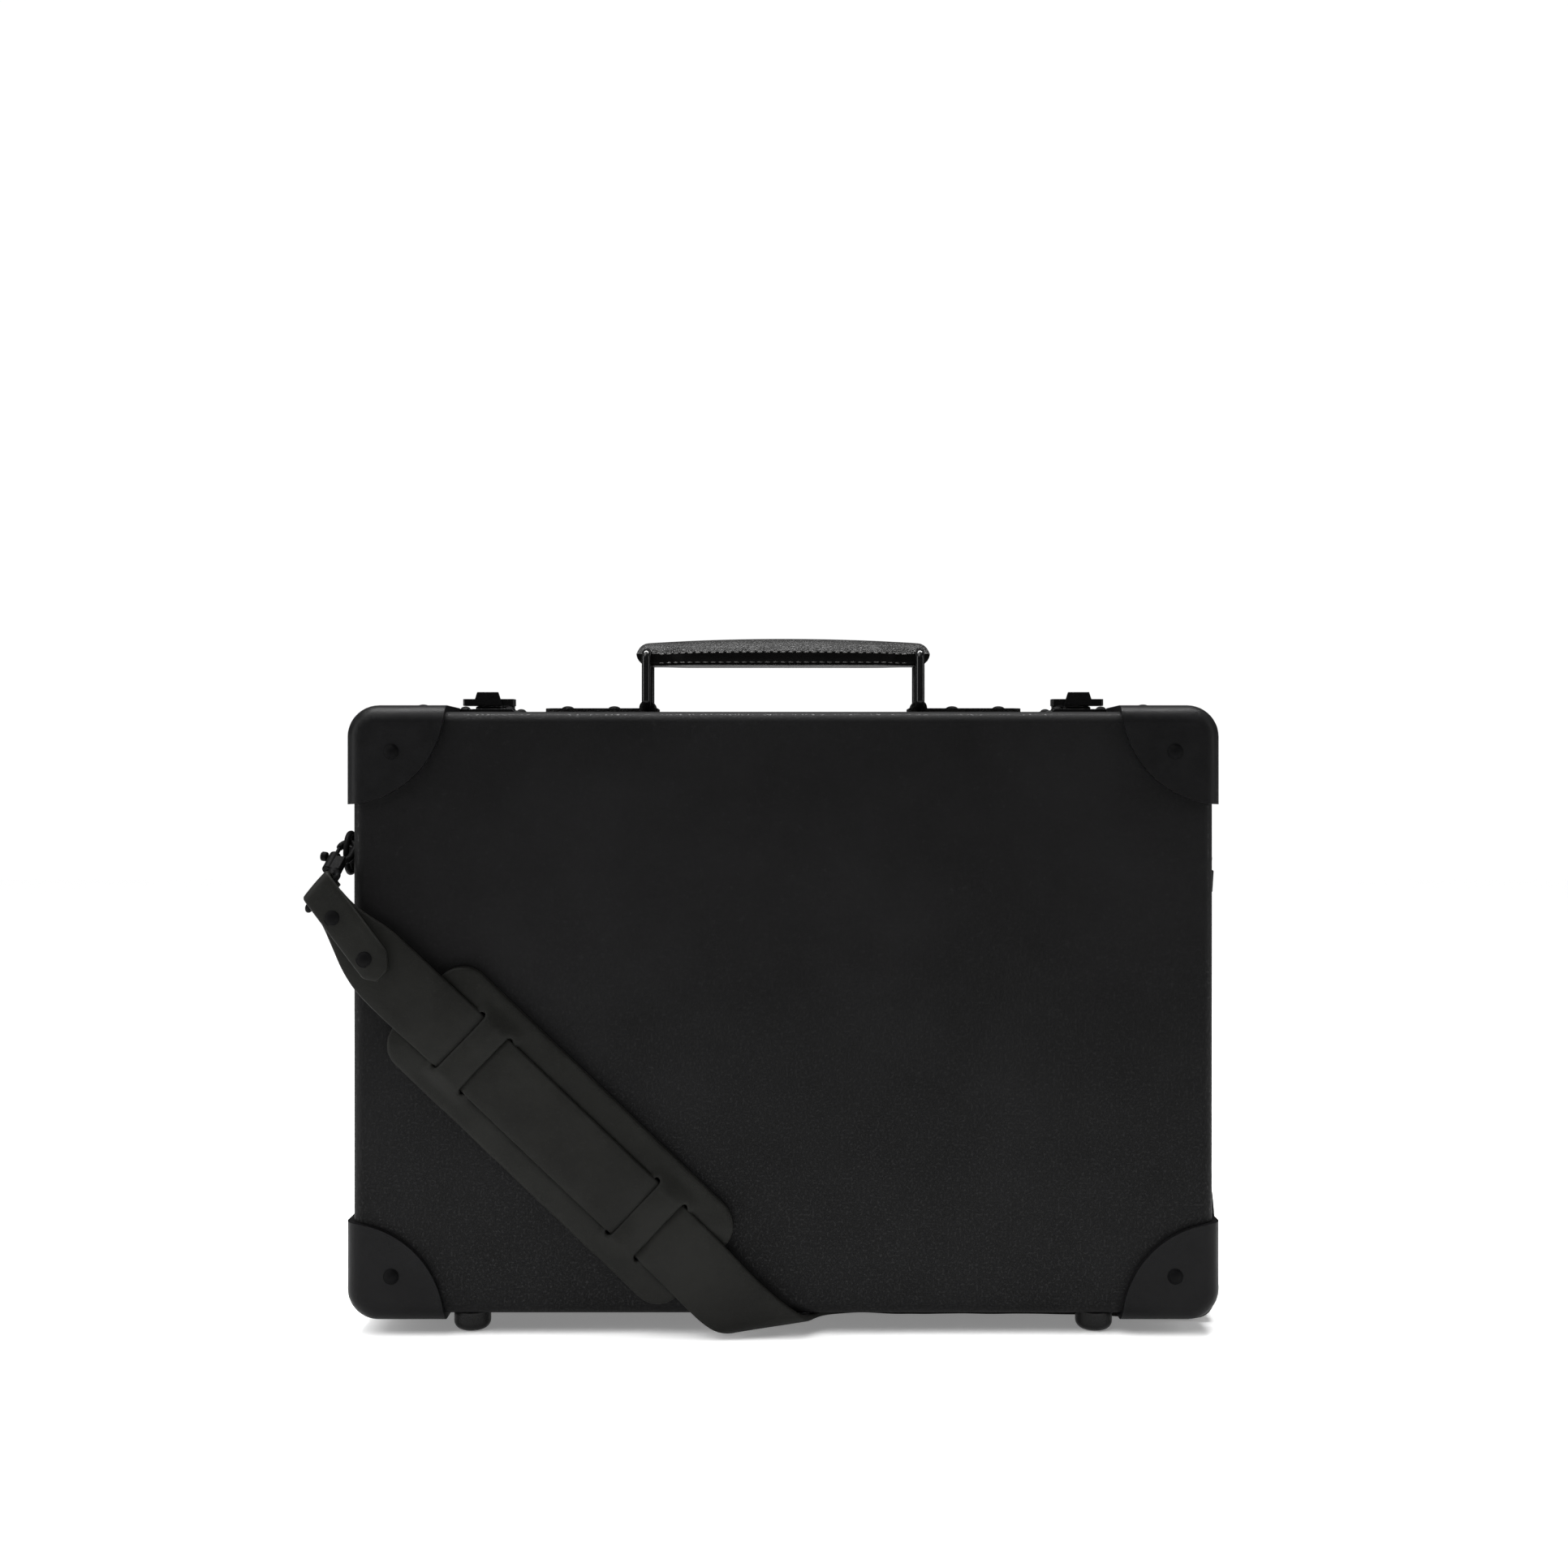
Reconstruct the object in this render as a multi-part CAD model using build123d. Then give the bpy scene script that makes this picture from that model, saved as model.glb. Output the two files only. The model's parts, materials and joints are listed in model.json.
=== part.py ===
"""Slim fibreboard attache case with leather corner caps, a hooked-on shoulder strap and a swinging top handle.

Millimetres. X runs across the case, Y from its front to its back, Z up. The origin is on the floor under the
middle of the case, which stands on its four feet. The front tray (base) carries the handle and the strap. The
rear tray (lid) swings back about a hinge axis along the bottom.
"""
import os
from math import cos, pi, sin

from build123d import *

# Boards
BOARD_W = 394.0
BOARD_BOTTOM = 9.5
BOARD_TOP = 285.4
FRONT_Y = -44.0
BACK_Y = 44.0
SPLIT_Y = 20.0
SPLIT_GAP = 0.2
WALL = 2.5
BOARD_CORNER = 11.5
BOARD_EDGE = 5.5
LINING_T = 0.8

# Rails behind the rims, and the tongue that closes the joint
RAIL_T = 4.0
BASE_RAIL_Y = 6.0
LID_RAIL_Y = 34.0
TONGUE = 3.0
TONGUE_PLAY = 0.4

# Corner caps and their rivets
CAP_T = 3.0
CAP_REACH = 45.5
CAP_RIVET_IN = 21.5
CAP_RIVET_WALL_IN = 29.5
BASE_WALL_RIVET_Y = -12.0
BASE_END_RIVET_Y = -32.0
LID_RIVET_Y = 32.0
RIVET_D = 6.5
RIVET_H = 1.5
SHANK_D = 3.0

# Feet
FOOT_X = 144.0
BASE_FOOT_Y = -30.5
LID_FOOT_Y = 32.0
FOOT_D = 17.0

# Handle
HANDLE_Y = -12.0
RING_X = 64.0
RING_DEPTH = 25.0
RING_LOW_Z = 288.0
RING_HIGH_Z = 313.7
RING_ROD = 2.1
RING_CORNER = 3.4
PIVOT_PLAY = 0.07
OPEN_PIVOT_PLAY = 0.35
TAB_W = 17.0
TAB_END_X = 112.0
TAB_T = 2.4
GRIP_END_R = 5.6
GRIP_BOTTOM = 307.8
GRIP_TOP = 321.0

# Latches
LATCH_X = 142.5
LATCH_W = 29.0
LATCH_T = 2.7
LATCH_NOTCH_Y = (-4.1, 39.1)
HASP_PIN_Y = 31.0
HASP_PIN_Z = 291.2
HASP_PIN_R = 1.2
HASP_BOTTOM = 290.1

# Hinges
HINGE_X = 95.0
HINGE_L = 40.0
HINGE_Z = 6.2
KNUCKLE_R = 2.6
HINGE_PIN_R = 1.2

# Lid stays
STAY_X = 187.8
STAY_HALF_SPREAD = 9.0
STAY_ARM = 125.0
STAY_W = 8.0
STAY_T = 1.2
STAY_PIN_R = 1.5

# Strap rings and their saddles
RING_BAR_X = 202.2
RING_BAR_Y = {-1: -20.0, 1: -4.0}
RING_MID_Z = 220.0
D_RADIUS = 9.0
D_ROD = 1.4

# Snap hooks
JAW_HALF_W = 3.6
JAW_HALF_L = 6.0
JAW_ROD = 1.0
HOOK_LENGTH = 27.3
EYE_ROD = 1.4
EYE_HALF = 10.2
EYE_RISE = 5.6
BOLT_R = 0.95

# Strap and pad
STRAP_W = 32.0
STRAP_T = 2.6
STRAP_END_W = 16.5
STRAP_FRONT_Y = -52.5
STRAP_UNDER_Z = 0.4
LANE_Y = -4.5
PAD_L = 178.0
PAD_SLOTS = (46.0, 63.2)
PAD_W = 57.0
PAD_Y = (-49.7, -44.4)

LEFT_EYE = Vector(-207.6, -54.2, 202.8)
LEFT_JAW = Vector(-202.5, -33.0, 220.7)
RIGHT_JAW = Vector(202.3, 6.7, 213.3)
RIGHT_PULL = Vector(0.018, -0.18, 0.983).normalized()
RIGHT_EYE = RIGHT_JAW - RIGHT_PULL * HOOK_LENGTH
DOWN_TONGUE = Vector(0.600, 0, -0.800)
DOWN_STRAP = Vector(0.724, 0, -0.690)
LEFT_BAR = Vector(0.650, 0, 0.760).normalized()
OFF_LEFT_BAR = Vector(LEFT_BAR.Z, 0, -LEFT_BAR.X)
TONGUE_L = 46.0
LEFT_RIVETS = ((-202.4, 192.1), (-188.0, 173.6))
STRAP_LINE = Vector(-147.5, 0, 135.4)
EDGE_BEND = 6.3

SIDES = (-1, 1)
BOARD_MID_Z = (BOARD_BOTTOM + BOARD_TOP) / 2
CAP_TOP = BOARD_TOP + CAP_T
CAP_BOTTOM = BOARD_BOTTOM - CAP_T
HINGE_Y = SPLIT_Y


# ---------------------------------------------------------------- shape helpers


def block(x, y, z):
    """Box given by its low and high limit along each axis."""
    limits = [sorted(pair) for pair in (x, y, z)]
    middle = [(low + high) / 2 for low, high in limits]
    return Pos(*middle) * Box(*[high - low for low, high in limits])


def prism(points, push):
    """Closed outline of points in space, pushed along a vector."""
    push = Vector(*push)
    return extrude(make_face(Polyline(*points, close=True)), amount=push.length, dir=push.normalized())


def rod(start, end, radius):
    """Round rod between two points."""
    start = Vector(*start)
    run = Vector(*end) - start
    return Plane(origin=start, z_dir=run.normalized()) * Pos(0, 0, run.length / 2) * Cylinder(radius, run.length)


def bent_rod(path, radius):
    """Round rod along a path."""
    return sweep(Plane(origin=path @ 0, z_dir=path % 0) * Circle(radius), path=path)


def rivet(at, out, head_d=RIVET_D, head_h=RIVET_H, shank_d=SHANK_D, shank_l=CAP_T + WALL):
    """Domed head seated on a surface, with its shank going in."""
    ball = (head_d**2 / 4 + head_h**2) / (2 * head_h)
    head = Pos(0, 0, head_h - ball) * Sphere(ball) & Pos(0, 0, head_h / 2) * Box(2 * head_d, 2 * head_d, head_h)
    shank = Pos(0, 0, -shank_l / 2) * Cylinder(shank_d / 2, shank_l)
    return Plane(origin=at, z_dir=out) * (head + shank)


def holes(seats, shank_d=SHANK_D, depth=CAP_T + WALL):
    """Round cuts for the shanks of rivets seated at (point, outward direction) pairs."""
    return [rod(at, Vector(*at) - Vector(*out) * depth, shank_d / 2) for at, out in seats]


def cut(shape, tools):
    """A shape less a list of tools."""
    for tool in tools:
        shape = shape - tool
    return shape


def group(shapes):
    """Several separate solids as one compound."""
    return Compound(children=[solid for shape in shapes for solid in shape.solids()])


def tray_block(grow, open_y, face_y):
    """Solid tray outline: rounded corners, and a rounded edge round its closed face."""
    body = block(
        (-BOARD_W / 2 - grow, BOARD_W / 2 + grow),
        (open_y, face_y),
        (BOARD_BOTTOM - grow, BOARD_TOP + grow),
    )
    body = fillet(body.edges().filter_by(Axis.Y), BOARD_CORNER + grow)
    faces = body.faces().sort_by(Axis.Y)
    face = faces[0] if face_y < open_y else faces[-1]
    return fillet(face.edges(), max(BOARD_EDGE + grow, 2.0))


def ribbon(centres, widths, level):
    """Flat outline of a band in a plane: its centre points and its width at each. level places a 2-D point."""
    left, right = [], []
    for i, (u, v) in enumerate(centres):
        before, after = centres[max(i - 1, 0)], centres[min(i + 1, len(centres) - 1)]
        du, dv = after[0] - before[0], after[1] - before[1]
        size = (du * du + dv * dv) ** 0.5
        half = widths[i] / 2
        left.append(level(u - dv / size * half, v + du / size * half))
        right.append(level(u + dv / size * half, v - du / size * half))
    return left + right[::-1]


# ---------------------------------------------------------------- trays


def cap_seats(face_y, wall_y, end_y):
    """Where the cap rivets sit on one tray: on its face, on its top and bottom walls, and on its end walls."""
    out_y = -1 if face_y < 0 else 1
    seats = []
    for side in SIDES:
        for z, up in ((CAP_TOP, 1), (CAP_BOTTOM, -1)):
            outer_x = side * (BOARD_W / 2 + CAP_T)
            seats.append(((outer_x - side * CAP_RIVET_IN, face_y, z - up * CAP_RIVET_IN), (0, out_y, 0)))
            seats.append(((outer_x - side * CAP_RIVET_WALL_IN, wall_y, z), (0, 0, up)))
            seats.append(((outer_x, end_y, z - up * CAP_RIVET_WALL_IN), (side, 0, 0)))
    return seats


def corner_caps(open_y, face_y, seats):
    """Four leather caps, each within a set reach of its outer corner, the top ones notched round the latches."""
    skin = tray_block(CAP_T, open_y, face_y) - tray_block(0, open_y, face_y - CAP_T * (1 if face_y > 0 else -1))
    caps = []
    for side in SIDES:
        for z in (CAP_BOTTOM, CAP_TOP):
            reach = rod((side * (BOARD_W / 2 + CAP_T), -60, z), (side * (BOARD_W / 2 + CAP_T), 60, z), CAP_REACH)
            notch_end = side * (LATCH_X + LATCH_W / 2 + 0.1)
            notch = block((side * 100, notch_end), LATCH_NOTCH_Y, (BOARD_TOP, CAP_TOP + 1))
            caps.append(cut(skin & reach, holes(seats) + [notch]))
    return group(caps)


def rails(near_y, far_y, inset):
    """Four wooden rails round the inside of a rim, mitred into its rounded corners."""
    outer = block(
        (-BOARD_W / 2 + inset, BOARD_W / 2 - inset),
        (near_y, far_y),
        (BOARD_BOTTOM + inset, BOARD_TOP - inset),
    )
    outer = fillet(outer.edges().filter_by(Axis.Y), BOARD_CORNER - WALL)
    x_in = BOARD_W / 2 - WALL - RAIL_T
    z_low, z_high = BOARD_BOTTOM + WALL + RAIL_T, BOARD_TOP - WALL - RAIL_T
    bars = [
        block((-BOARD_W / 2, BOARD_W / 2), (near_y, far_y), (BOARD_BOTTOM, z_low)),
        block((-BOARD_W / 2, BOARD_W / 2), (near_y, far_y), (z_high, BOARD_TOP)),
        block((-BOARD_W / 2, -x_in), (near_y, far_y), (z_low, z_high)),
        block((x_in, BOARD_W / 2), (near_y, far_y), (z_low, z_high)),
    ]
    return [bar & outer for bar in bars]


def lining(open_y, face_y):
    """Thin cloth tray inside a board tray."""
    inward = 1 if face_y < open_y else -1
    outside = tray_block(-WALL, open_y, face_y + inward * WALL)
    inside = tray_block(-WALL - LINING_T, open_y + inward, face_y + inward * (WALL + LINING_T))
    return outside - inside


def foot(x, y):
    """Squat domed foot with a sunk screw hole up its middle."""
    outline = Pos(x, y) * Circle(FOOT_D / 2)
    body = extrude(outline, BOARD_BOTTOM)
    body = fillet(body.edges().sort_by(Axis.Z)[0], 4.0)
    body = fillet(body.edges().sort_by(Axis.Z)[-1], 0.9)
    head = rod((x, y, 0), (x, y, 2.0), 2.6)
    return body - head - rod((x, y, 0), (x, y, BOARD_BOTTOM), 1.5)


def foot_screw(x, y):
    """Pan head sunk in a foot, with a shank into the board."""
    return rod((x, y, 0.9), (x, y, 2.0), 2.6) + rod((x, y, 1.0), (x, y, BOARD_BOTTOM + WALL), 1.5)


# ---------------------------------------------------------------- handle


def ring(side):
    """Closed wire link that stands through a leather loop and carries one end of the grip."""
    mid_z = (RING_LOW_Z + RING_HIGH_Z) / 2
    frame = Plane(origin=(side * RING_X, HANDLE_Y, mid_z), x_dir=(0, 1, 0), z_dir=(1, 0, 0))
    outline = frame * RectangleRounded(RING_DEPTH, RING_HIGH_Z - RING_LOW_Z, RING_CORNER)
    return bent_rod(outline.wire(), RING_ROD)


def tab_seats(side):
    """Rivets that hold the handle tabs to the top: place and direction of each head."""
    return [((side * x, HANDLE_Y, BOARD_TOP + TAB_T), (0, 0, 1)) for x in (80.0, 102.0)]


def handle_tab(side):
    """Leather tab on the top wall, turned over the ring's lower bar."""
    y = (HANDLE_Y - TAB_W / 2, HANDLE_Y + TAB_W / 2)
    strip = block((side * 59.0, side * TAB_END_X), y, (BOARD_TOP, BOARD_TOP + TAB_T))
    strip = fillet(strip.edges().filter_by(Axis.Z).sort_by(Axis.X)[-2:] if side > 0 else
                   strip.edges().filter_by(Axis.Z).sort_by(Axis.X)[:2], 5.0)
    bump = rod((side * RING_X, y[0], RING_LOW_Z), (side * RING_X, y[1], RING_LOW_Z), RING_ROD + 1.5)
    bump = bump & block((side * 50, side * 75), y, (BOARD_TOP, BOARD_TOP + 10))
    bore = rod((side * RING_X, -60, RING_LOW_Z), (side * RING_X, 60, RING_LOW_Z), RING_ROD + PIVOT_PLAY)
    return cut(strip + bump - bore, holes(tab_seats(side), SHANK_D, TAB_T + WALL))


def grip():
    """Padded leather grip: narrow ends between the ring posts, a wide crowned middle, and a bore at each end."""
    end_z = GRIP_BOTTOM + GRIP_END_R
    x = RING_X - 0.6
    profile = make_face(
        Line((-x, 0, GRIP_BOTTOM), (x, 0, GRIP_BOTTOM))
        + ThreePointArc((x, 0, GRIP_BOTTOM), (x + GRIP_END_R, 0, end_z), (x, 0, end_z + GRIP_END_R))
        + ThreePointArc((x, 0, end_z + GRIP_END_R), (0, 0, GRIP_TOP), (-x, 0, end_z + GRIP_END_R))
        + ThreePointArc((-x, 0, end_z + GRIP_END_R), (-x - GRIP_END_R, 0, end_z), (-x, 0, GRIP_BOTTOM))
    )
    side_view = extrude(profile, amount=40, dir=(0, 1, 0), both=True)
    half_plan = [(72.0, 8.6), (57.0, 8.6), (52.0, 10.0), (44.0, 13.4)]
    plan = [(px, HANDLE_Y + py, 300) for px, py in half_plan]
    plan += [(-px, HANDLE_Y + py, 300) for px, py in half_plan[::-1]]
    plan += [(-px, HANDLE_Y - py, 300) for px, py in half_plan]
    plan += [(px, HANDLE_Y - py, 300) for px, py in half_plan[::-1]]
    body = side_view & prism(plan, (0, 0, 30))
    core = block((-56.0, 56.0), (HANDLE_Y - 6.5, HANDLE_Y + 6.5), (312.4, 315.0))
    left = rod((-RING_X, -60, RING_HIGH_Z), (-RING_X, 60, RING_HIGH_Z), RING_ROD + PIVOT_PLAY)
    right = rod((RING_X, -60, RING_HIGH_Z), (RING_X, 60, RING_HIGH_Z), RING_ROD + OPEN_PIVOT_PLAY)
    return body - core - left - right, core


# ---------------------------------------------------------------- latches


def latch_plate_seats():
    """Rivets of the plates under the latches."""
    top = BOARD_TOP + LATCH_T
    return [((side * LATCH_X + dx, 3.0, top), (0, 0, 1)) for side in SIDES for dx in (-10.6, 10.6)]


def latch_bracket_seats():
    """Rivets of the keeper brackets on the lid."""
    top = BOARD_TOP + LATCH_T
    return [((side * LATCH_X + dx, 34.5, top), (0, 0, 1)) for side in SIDES for dx in (-11.8, 11.8)]


def bevelled_plate(x_mid, y, z):
    """Plate with its two ends bevelled."""
    plate = block((x_mid - LATCH_W / 2, x_mid + LATCH_W / 2), y, z)
    return chamfer(plate.faces().sort_by(Axis.Z)[-1].edges().filter_by(Axis.Y), 1.8)


def latch_plate(x_mid):
    """Fixed plate on the base with the raised keeper that the hasp closes over."""
    plate = bevelled_plate(x_mid, (-4.0, 19.6), (BOARD_TOP, BOARD_TOP + LATCH_T))
    keeper = block((x_mid - 6.0, x_mid + 6.0), (5.0, 17.0), (BOARD_TOP + LATCH_T, HASP_BOTTOM - 0.4))
    return plate + chamfer(keeper.faces().sort_by(Axis.Z)[-1].edges(), 0.5)


def latch_bracket(x_mid):
    """Plate on the lid with two ears for the hasp's pin."""
    plate = bevelled_plate(x_mid, (20.4, 39.0), (BOARD_TOP, BOARD_TOP + LATCH_T))
    for dx in (-7.8, 7.8):
        ear = rod((x_mid + dx - 1.0, HASP_PIN_Y, HASP_PIN_Z), (x_mid + dx + 1.0, HASP_PIN_Y, HASP_PIN_Z), 2.6)
        foot_of_ear = block(
            (x_mid + dx - 1.0, x_mid + dx + 1.0),
            (HASP_PIN_Y - 2.6, HASP_PIN_Y + 2.6),
            (BOARD_TOP + LATCH_T - 0.5, HASP_PIN_Z),
        )
        plate = plate + ear + foot_of_ear
    return plate - rod((x_mid - 12, HASP_PIN_Y, HASP_PIN_Z), (x_mid + 12, HASP_PIN_Y, HASP_PIN_Z), HASP_PIN_R)


def hasp(x_mid):
    """Swinging T-shaped hasp: barrel, body, cross wings and a raised thumb lip."""
    barrel = rod((x_mid - 6.5, HASP_PIN_Y, HASP_PIN_Z), (x_mid + 6.5, HASP_PIN_Y, HASP_PIN_Z), 2.4)
    body = block((x_mid - 6.0, x_mid + 6.0), (4.0, HASP_PIN_Y), (HASP_BOTTOM, HASP_BOTTOM + 2.2))
    wings = block((x_mid - 12.5, x_mid + 12.5), (5.5, 13.0), (HASP_BOTTOM, HASP_BOTTOM + 3.2))
    wings = fillet(wings.edges().filter_by(Axis.Z), 1.5)
    lip_low, lip_high = HASP_BOTTOM + 0.2, HASP_BOTTOM + 6.4
    lip = prism(
        [(x_mid - 7, 2.6, lip_low), (x_mid + 7, 2.6, lip_low), (x_mid + 5, 2.6, lip_high), (x_mid - 5, 2.6, lip_high)],
        (0, 2.2, 0),
    )
    bore = rod((x_mid - 8, HASP_PIN_Y, HASP_PIN_Z), (x_mid + 8, HASP_PIN_Y, HASP_PIN_Z), HASP_PIN_R + PIVOT_PLAY)
    return barrel + body + wings + lip - bore


# ---------------------------------------------------------------- hinges and stays


def hinge_seats(y):
    """Rivets of the hinge leaves."""
    below = BOARD_BOTTOM - 1.2
    return [((side * HINGE_X + dx, y, below), (0, 0, -1)) for side in SIDES for dx in (-14, 0, 14)]


def hinge_leaf(x_mid, of_base):
    """Half of a butt hinge: a leaf under the board and its knuckles round the axis."""
    half = HINGE_L / 2
    toward = -1 if of_base else 1
    spans = ((-half, -7.2), (7.2, half)) if of_base else ((-7.0, 7.0),)
    shape = block((x_mid - half, x_mid + half), (HINGE_Y + toward * 3.4, HINGE_Y + toward * 19), (8.3, BOARD_BOTTOM))
    play = 0 if of_base else PIVOT_PLAY
    for low, high in spans:
        shape = shape + rod((x_mid + low, HINGE_Y, HINGE_Z), (x_mid + high, HINGE_Y, HINGE_Z), KNUCKLE_R)
        shape = shape + block((x_mid + low, x_mid + high), (HINGE_Y, HINGE_Y + toward * 3.4), (7.8, 9.1))
    bore = rod((x_mid - half - 1, HINGE_Y, HINGE_Z), (x_mid + half + 1, HINGE_Y, HINGE_Z), HINGE_PIN_R + play)
    return shape - bore


def stay_points():
    """The two fixed pivots and the elbow of a lid stay with the case shut, in Y and Z."""
    rise = (STAY_ARM**2 - STAY_HALF_SPREAD**2) ** 0.5
    base_pivot = (HINGE_Y - STAY_HALF_SPREAD, HINGE_Z + rise)
    lid_pivot = (HINGE_Y + STAY_HALF_SPREAD, HINGE_Z + rise)
    return base_pivot, lid_pivot, (HINGE_Y, HINGE_Z + 2 * rise)


def stay_arm(x_low, x_high, start, end, pin_side):
    """Flat bar with round ends. The base arm carries the elbow pin, and the lid arm a hole for it."""
    shape = rod((x_low, *start), (x_high, *start), STAY_W / 2) + rod((x_low, *end), (x_high, *end), STAY_W / 2)
    run = Vector(0, end[0] - start[0], end[1] - start[1]).normalized()
    across = Vector(0, -run.Z, run.Y) * (STAY_W / 2)
    a, b = Vector(x_low, *start), Vector(x_low, *end)
    shape = shape + prism([a + across, b + across, b - across, a - across], (x_high - x_low, 0, 0))
    shape = shape - rod((x_low - 1, *start), (x_high + 1, *start), STAY_PIN_R + PIVOT_PLAY)
    if pin_side:
        outer = x_low if pin_side < 0 else x_high
        return shape + rod((outer, *end), (outer + pin_side * 2.4, *end), STAY_PIN_R)
    return shape - rod((x_low - 1, *end), (x_high + 1, *end), STAY_PIN_R + 0.5)


def stay_stud(side, pivot, inner_x):
    """Shouldered stud on a rail that an arm turns on."""
    wall_x = BOARD_W / 2 - WALL - RAIL_T
    shaft = rod((side * wall_x, *pivot), (side * (inner_x - 0.9), *pivot), STAY_PIN_R)
    head = rod((side * (inner_x - 1.7), *pivot), (side * (inner_x - 0.3), *pivot), 2.8)
    return shaft + head


# ---------------------------------------------------------------- strap rings and snap hooks


def saddle_seats():
    """Rivets of the saddles on the end walls."""
    seats = []
    for side in SIDES:
        for dy in (-5.8, 5.8):
            seats.append(((side * (BOARD_W / 2 + 1.2), RING_BAR_Y[side] + dy, RING_MID_Z), (side, 0, 0)))
    return seats


def saddle(side):
    """Plate on the end wall with a sleeve for the straight bar of a D ring."""
    wall, bar_x, bar_y = BOARD_W / 2, side * RING_BAR_X, RING_BAR_Y[side]
    z = (RING_MID_Z - 5.0, RING_MID_Z + 5.0)
    plate = block((side * wall, side * (wall + 1.2)), (bar_y - 8.2, bar_y + 8.2), z)
    plate = fillet(plate.edges().filter_by(Axis.X), 3.0)
    sleeve = rod((bar_x, bar_y, z[0]), (bar_x, bar_y, z[1]), D_ROD + 1.2)
    cheek = block((side * wall, bar_x), (bar_y - 2.7, bar_y + 2.7), z)
    bore = rod((bar_x, bar_y, 190), (bar_x, bar_y, 250), D_ROD + PIVOT_PLAY)
    return cut(plate + sleeve + cheek - bore, holes(saddle_seats(), 2.0, 1.2 + WALL))


def d_ring(side, toward):
    """D ring lying against the end wall, its bow turned toward the front (-1) or the back (1)."""
    origin = (side * RING_BAR_X, RING_BAR_Y[side], RING_MID_Z)
    frame = Plane(origin=origin, x_dir=(0, toward, 0), z_dir=(toward, 0, 0))
    outline = Pos(2, 0) * Rectangle(4, 2 * D_RADIUS) + Pos(4, 0) * Circle(D_RADIUS)
    outline = outline & Pos(10, 0) * Rectangle(20, 40)
    outline = fillet(outline.vertices().sort_by(Axis.X)[:2], 2.4)
    return bent_rod((frame * outline).wire(), D_ROD)


def hook_frame(jaw, eye, side):
    """Plane of a hook: origin in its jaw, X toward the case wall and Y up its shank toward the jaw."""
    pull = (jaw - eye).normalized()
    wall_side = Vector(-side, 0, 0)
    across = (wall_side - pull * wall_side.dot(pull)).normalized()
    return Plane(origin=jaw, x_dir=across, z_dir=across.cross(pull))


def about_bolt(turn):
    """Turn about the bolt's own line, which sets the side its knob stands on."""
    return Pos(-JAW_HALF_W, 0, 0) * Rot(0, turn, 0) * Pos(JAW_HALF_W, 0, 0)


def hook_body(frame, knob_turn):
    """Hook bent from rod, with the guide block for its bolt and a swivel stem."""
    w, straight = JAW_HALF_W, JAW_HALF_L - JAW_HALF_W
    path = (
        Line((-w, straight), (-w, straight + 0.3))
        + ThreePointArc((-w, straight + 0.3), (0, JAW_HALF_L + 0.3), (w, straight + 0.3))
        + Line((w, straight + 0.3), (w, -straight))
        + ThreePointArc((w, -straight), (w * cos(pi / 4), -straight - w * sin(pi / 4)), (0, -JAW_HALF_L))
    )
    hook = bent_rod(path.wire(), JAW_ROD)
    guide = Pos(-1.6, -9.2) * Box(6.6, 7.6, 3.4) + rod((-w, -13.0, 0), (-w, -3.4, 0), 2.1)
    stem = rod((0, -18.2, 0), (0, -12.0, 0), 1.6) + rod((0, -18.9, 0), (0, -17.9, 0), 2.1)
    bore = rod((-w, -20, 0), (-w, -1, 0), BOLT_R + PIVOT_PLAY)
    slot = about_bolt(knob_turn) * block((-w, -9), (-11.2, -3.0), (-0.9, 0.9))
    return frame * (hook + guide + stem - bore - slot)


def hook_bolt(frame, knob_turn):
    """Sliding bolt that closes the jaw, with its thumb knob."""
    w = JAW_HALF_W
    knob = rod((-w - 3.2, -4.6, 0), (-w - 6.4, -4.6, 0), 2.2)
    knob = fillet(knob.edges(), 0.9)
    neck = rod((-w, -4.6, 0), (-w - 3.6, -4.6, 0), 0.7)
    return frame * (rod((-w, -9.2, 0), (-w, 2.3, 0), BOLT_R) + about_bolt(knob_turn) * (neck + knob))


def hook_eye(frame, eye, bar):
    """Three-sided loop for the strap, with the collar that the hook's stem turns in."""
    pull = frame.y_dir
    collar_mid = frame.origin - pull * 15.8
    spread = (bar - pull * bar.dot(pull)).normalized() * 2.6
    limb = (pull - bar * pull.dot(bar)).normalized() * EYE_RISE
    low, high = eye - bar * EYE_HALF, eye + bar * EYE_HALF
    path = FilletPolyline(collar_mid + spread, high + limb, high, low, low + limb, collar_mid - spread, radius=1.8)
    collar = rod(collar_mid - pull * 1.9, collar_mid + pull * 1.9, 3.0)
    bore = rod(collar_mid - pull * 6, collar_mid + pull * 6, 1.6 + PIVOT_PLAY)
    return bent_rod(path, EYE_ROD) + collar - bore


# ---------------------------------------------------------------- strap and pad


def fold(eye, bar, away, width):
    """Half turn of the strap round a hook's eye bar, on the far side from the strap."""
    tube = rod(eye - bar * width / 2, eye + bar * width / 2, 1.7 + STRAP_T)
    tube = tube - rod(eye - bar * width, eye + bar * width, 1.7)
    keep = Plane(origin=eye - away * 10, z_dir=away) * Box(60, 60, 20)
    return tube & keep


def tongue(start, run, across, thick, length):
    """Riveted end of the strap with clipped corners."""
    half = STRAP_END_W / 2
    clip = 5.0
    points = [
        start - across * half,
        start - across * half + run * (length - clip),
        start - across * (half - clip) + run * length,
        start + across * (half - clip) + run * length,
        start + across * half + run * (length - clip),
        start + across * half,
    ]
    return prism(points, thick)


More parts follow.
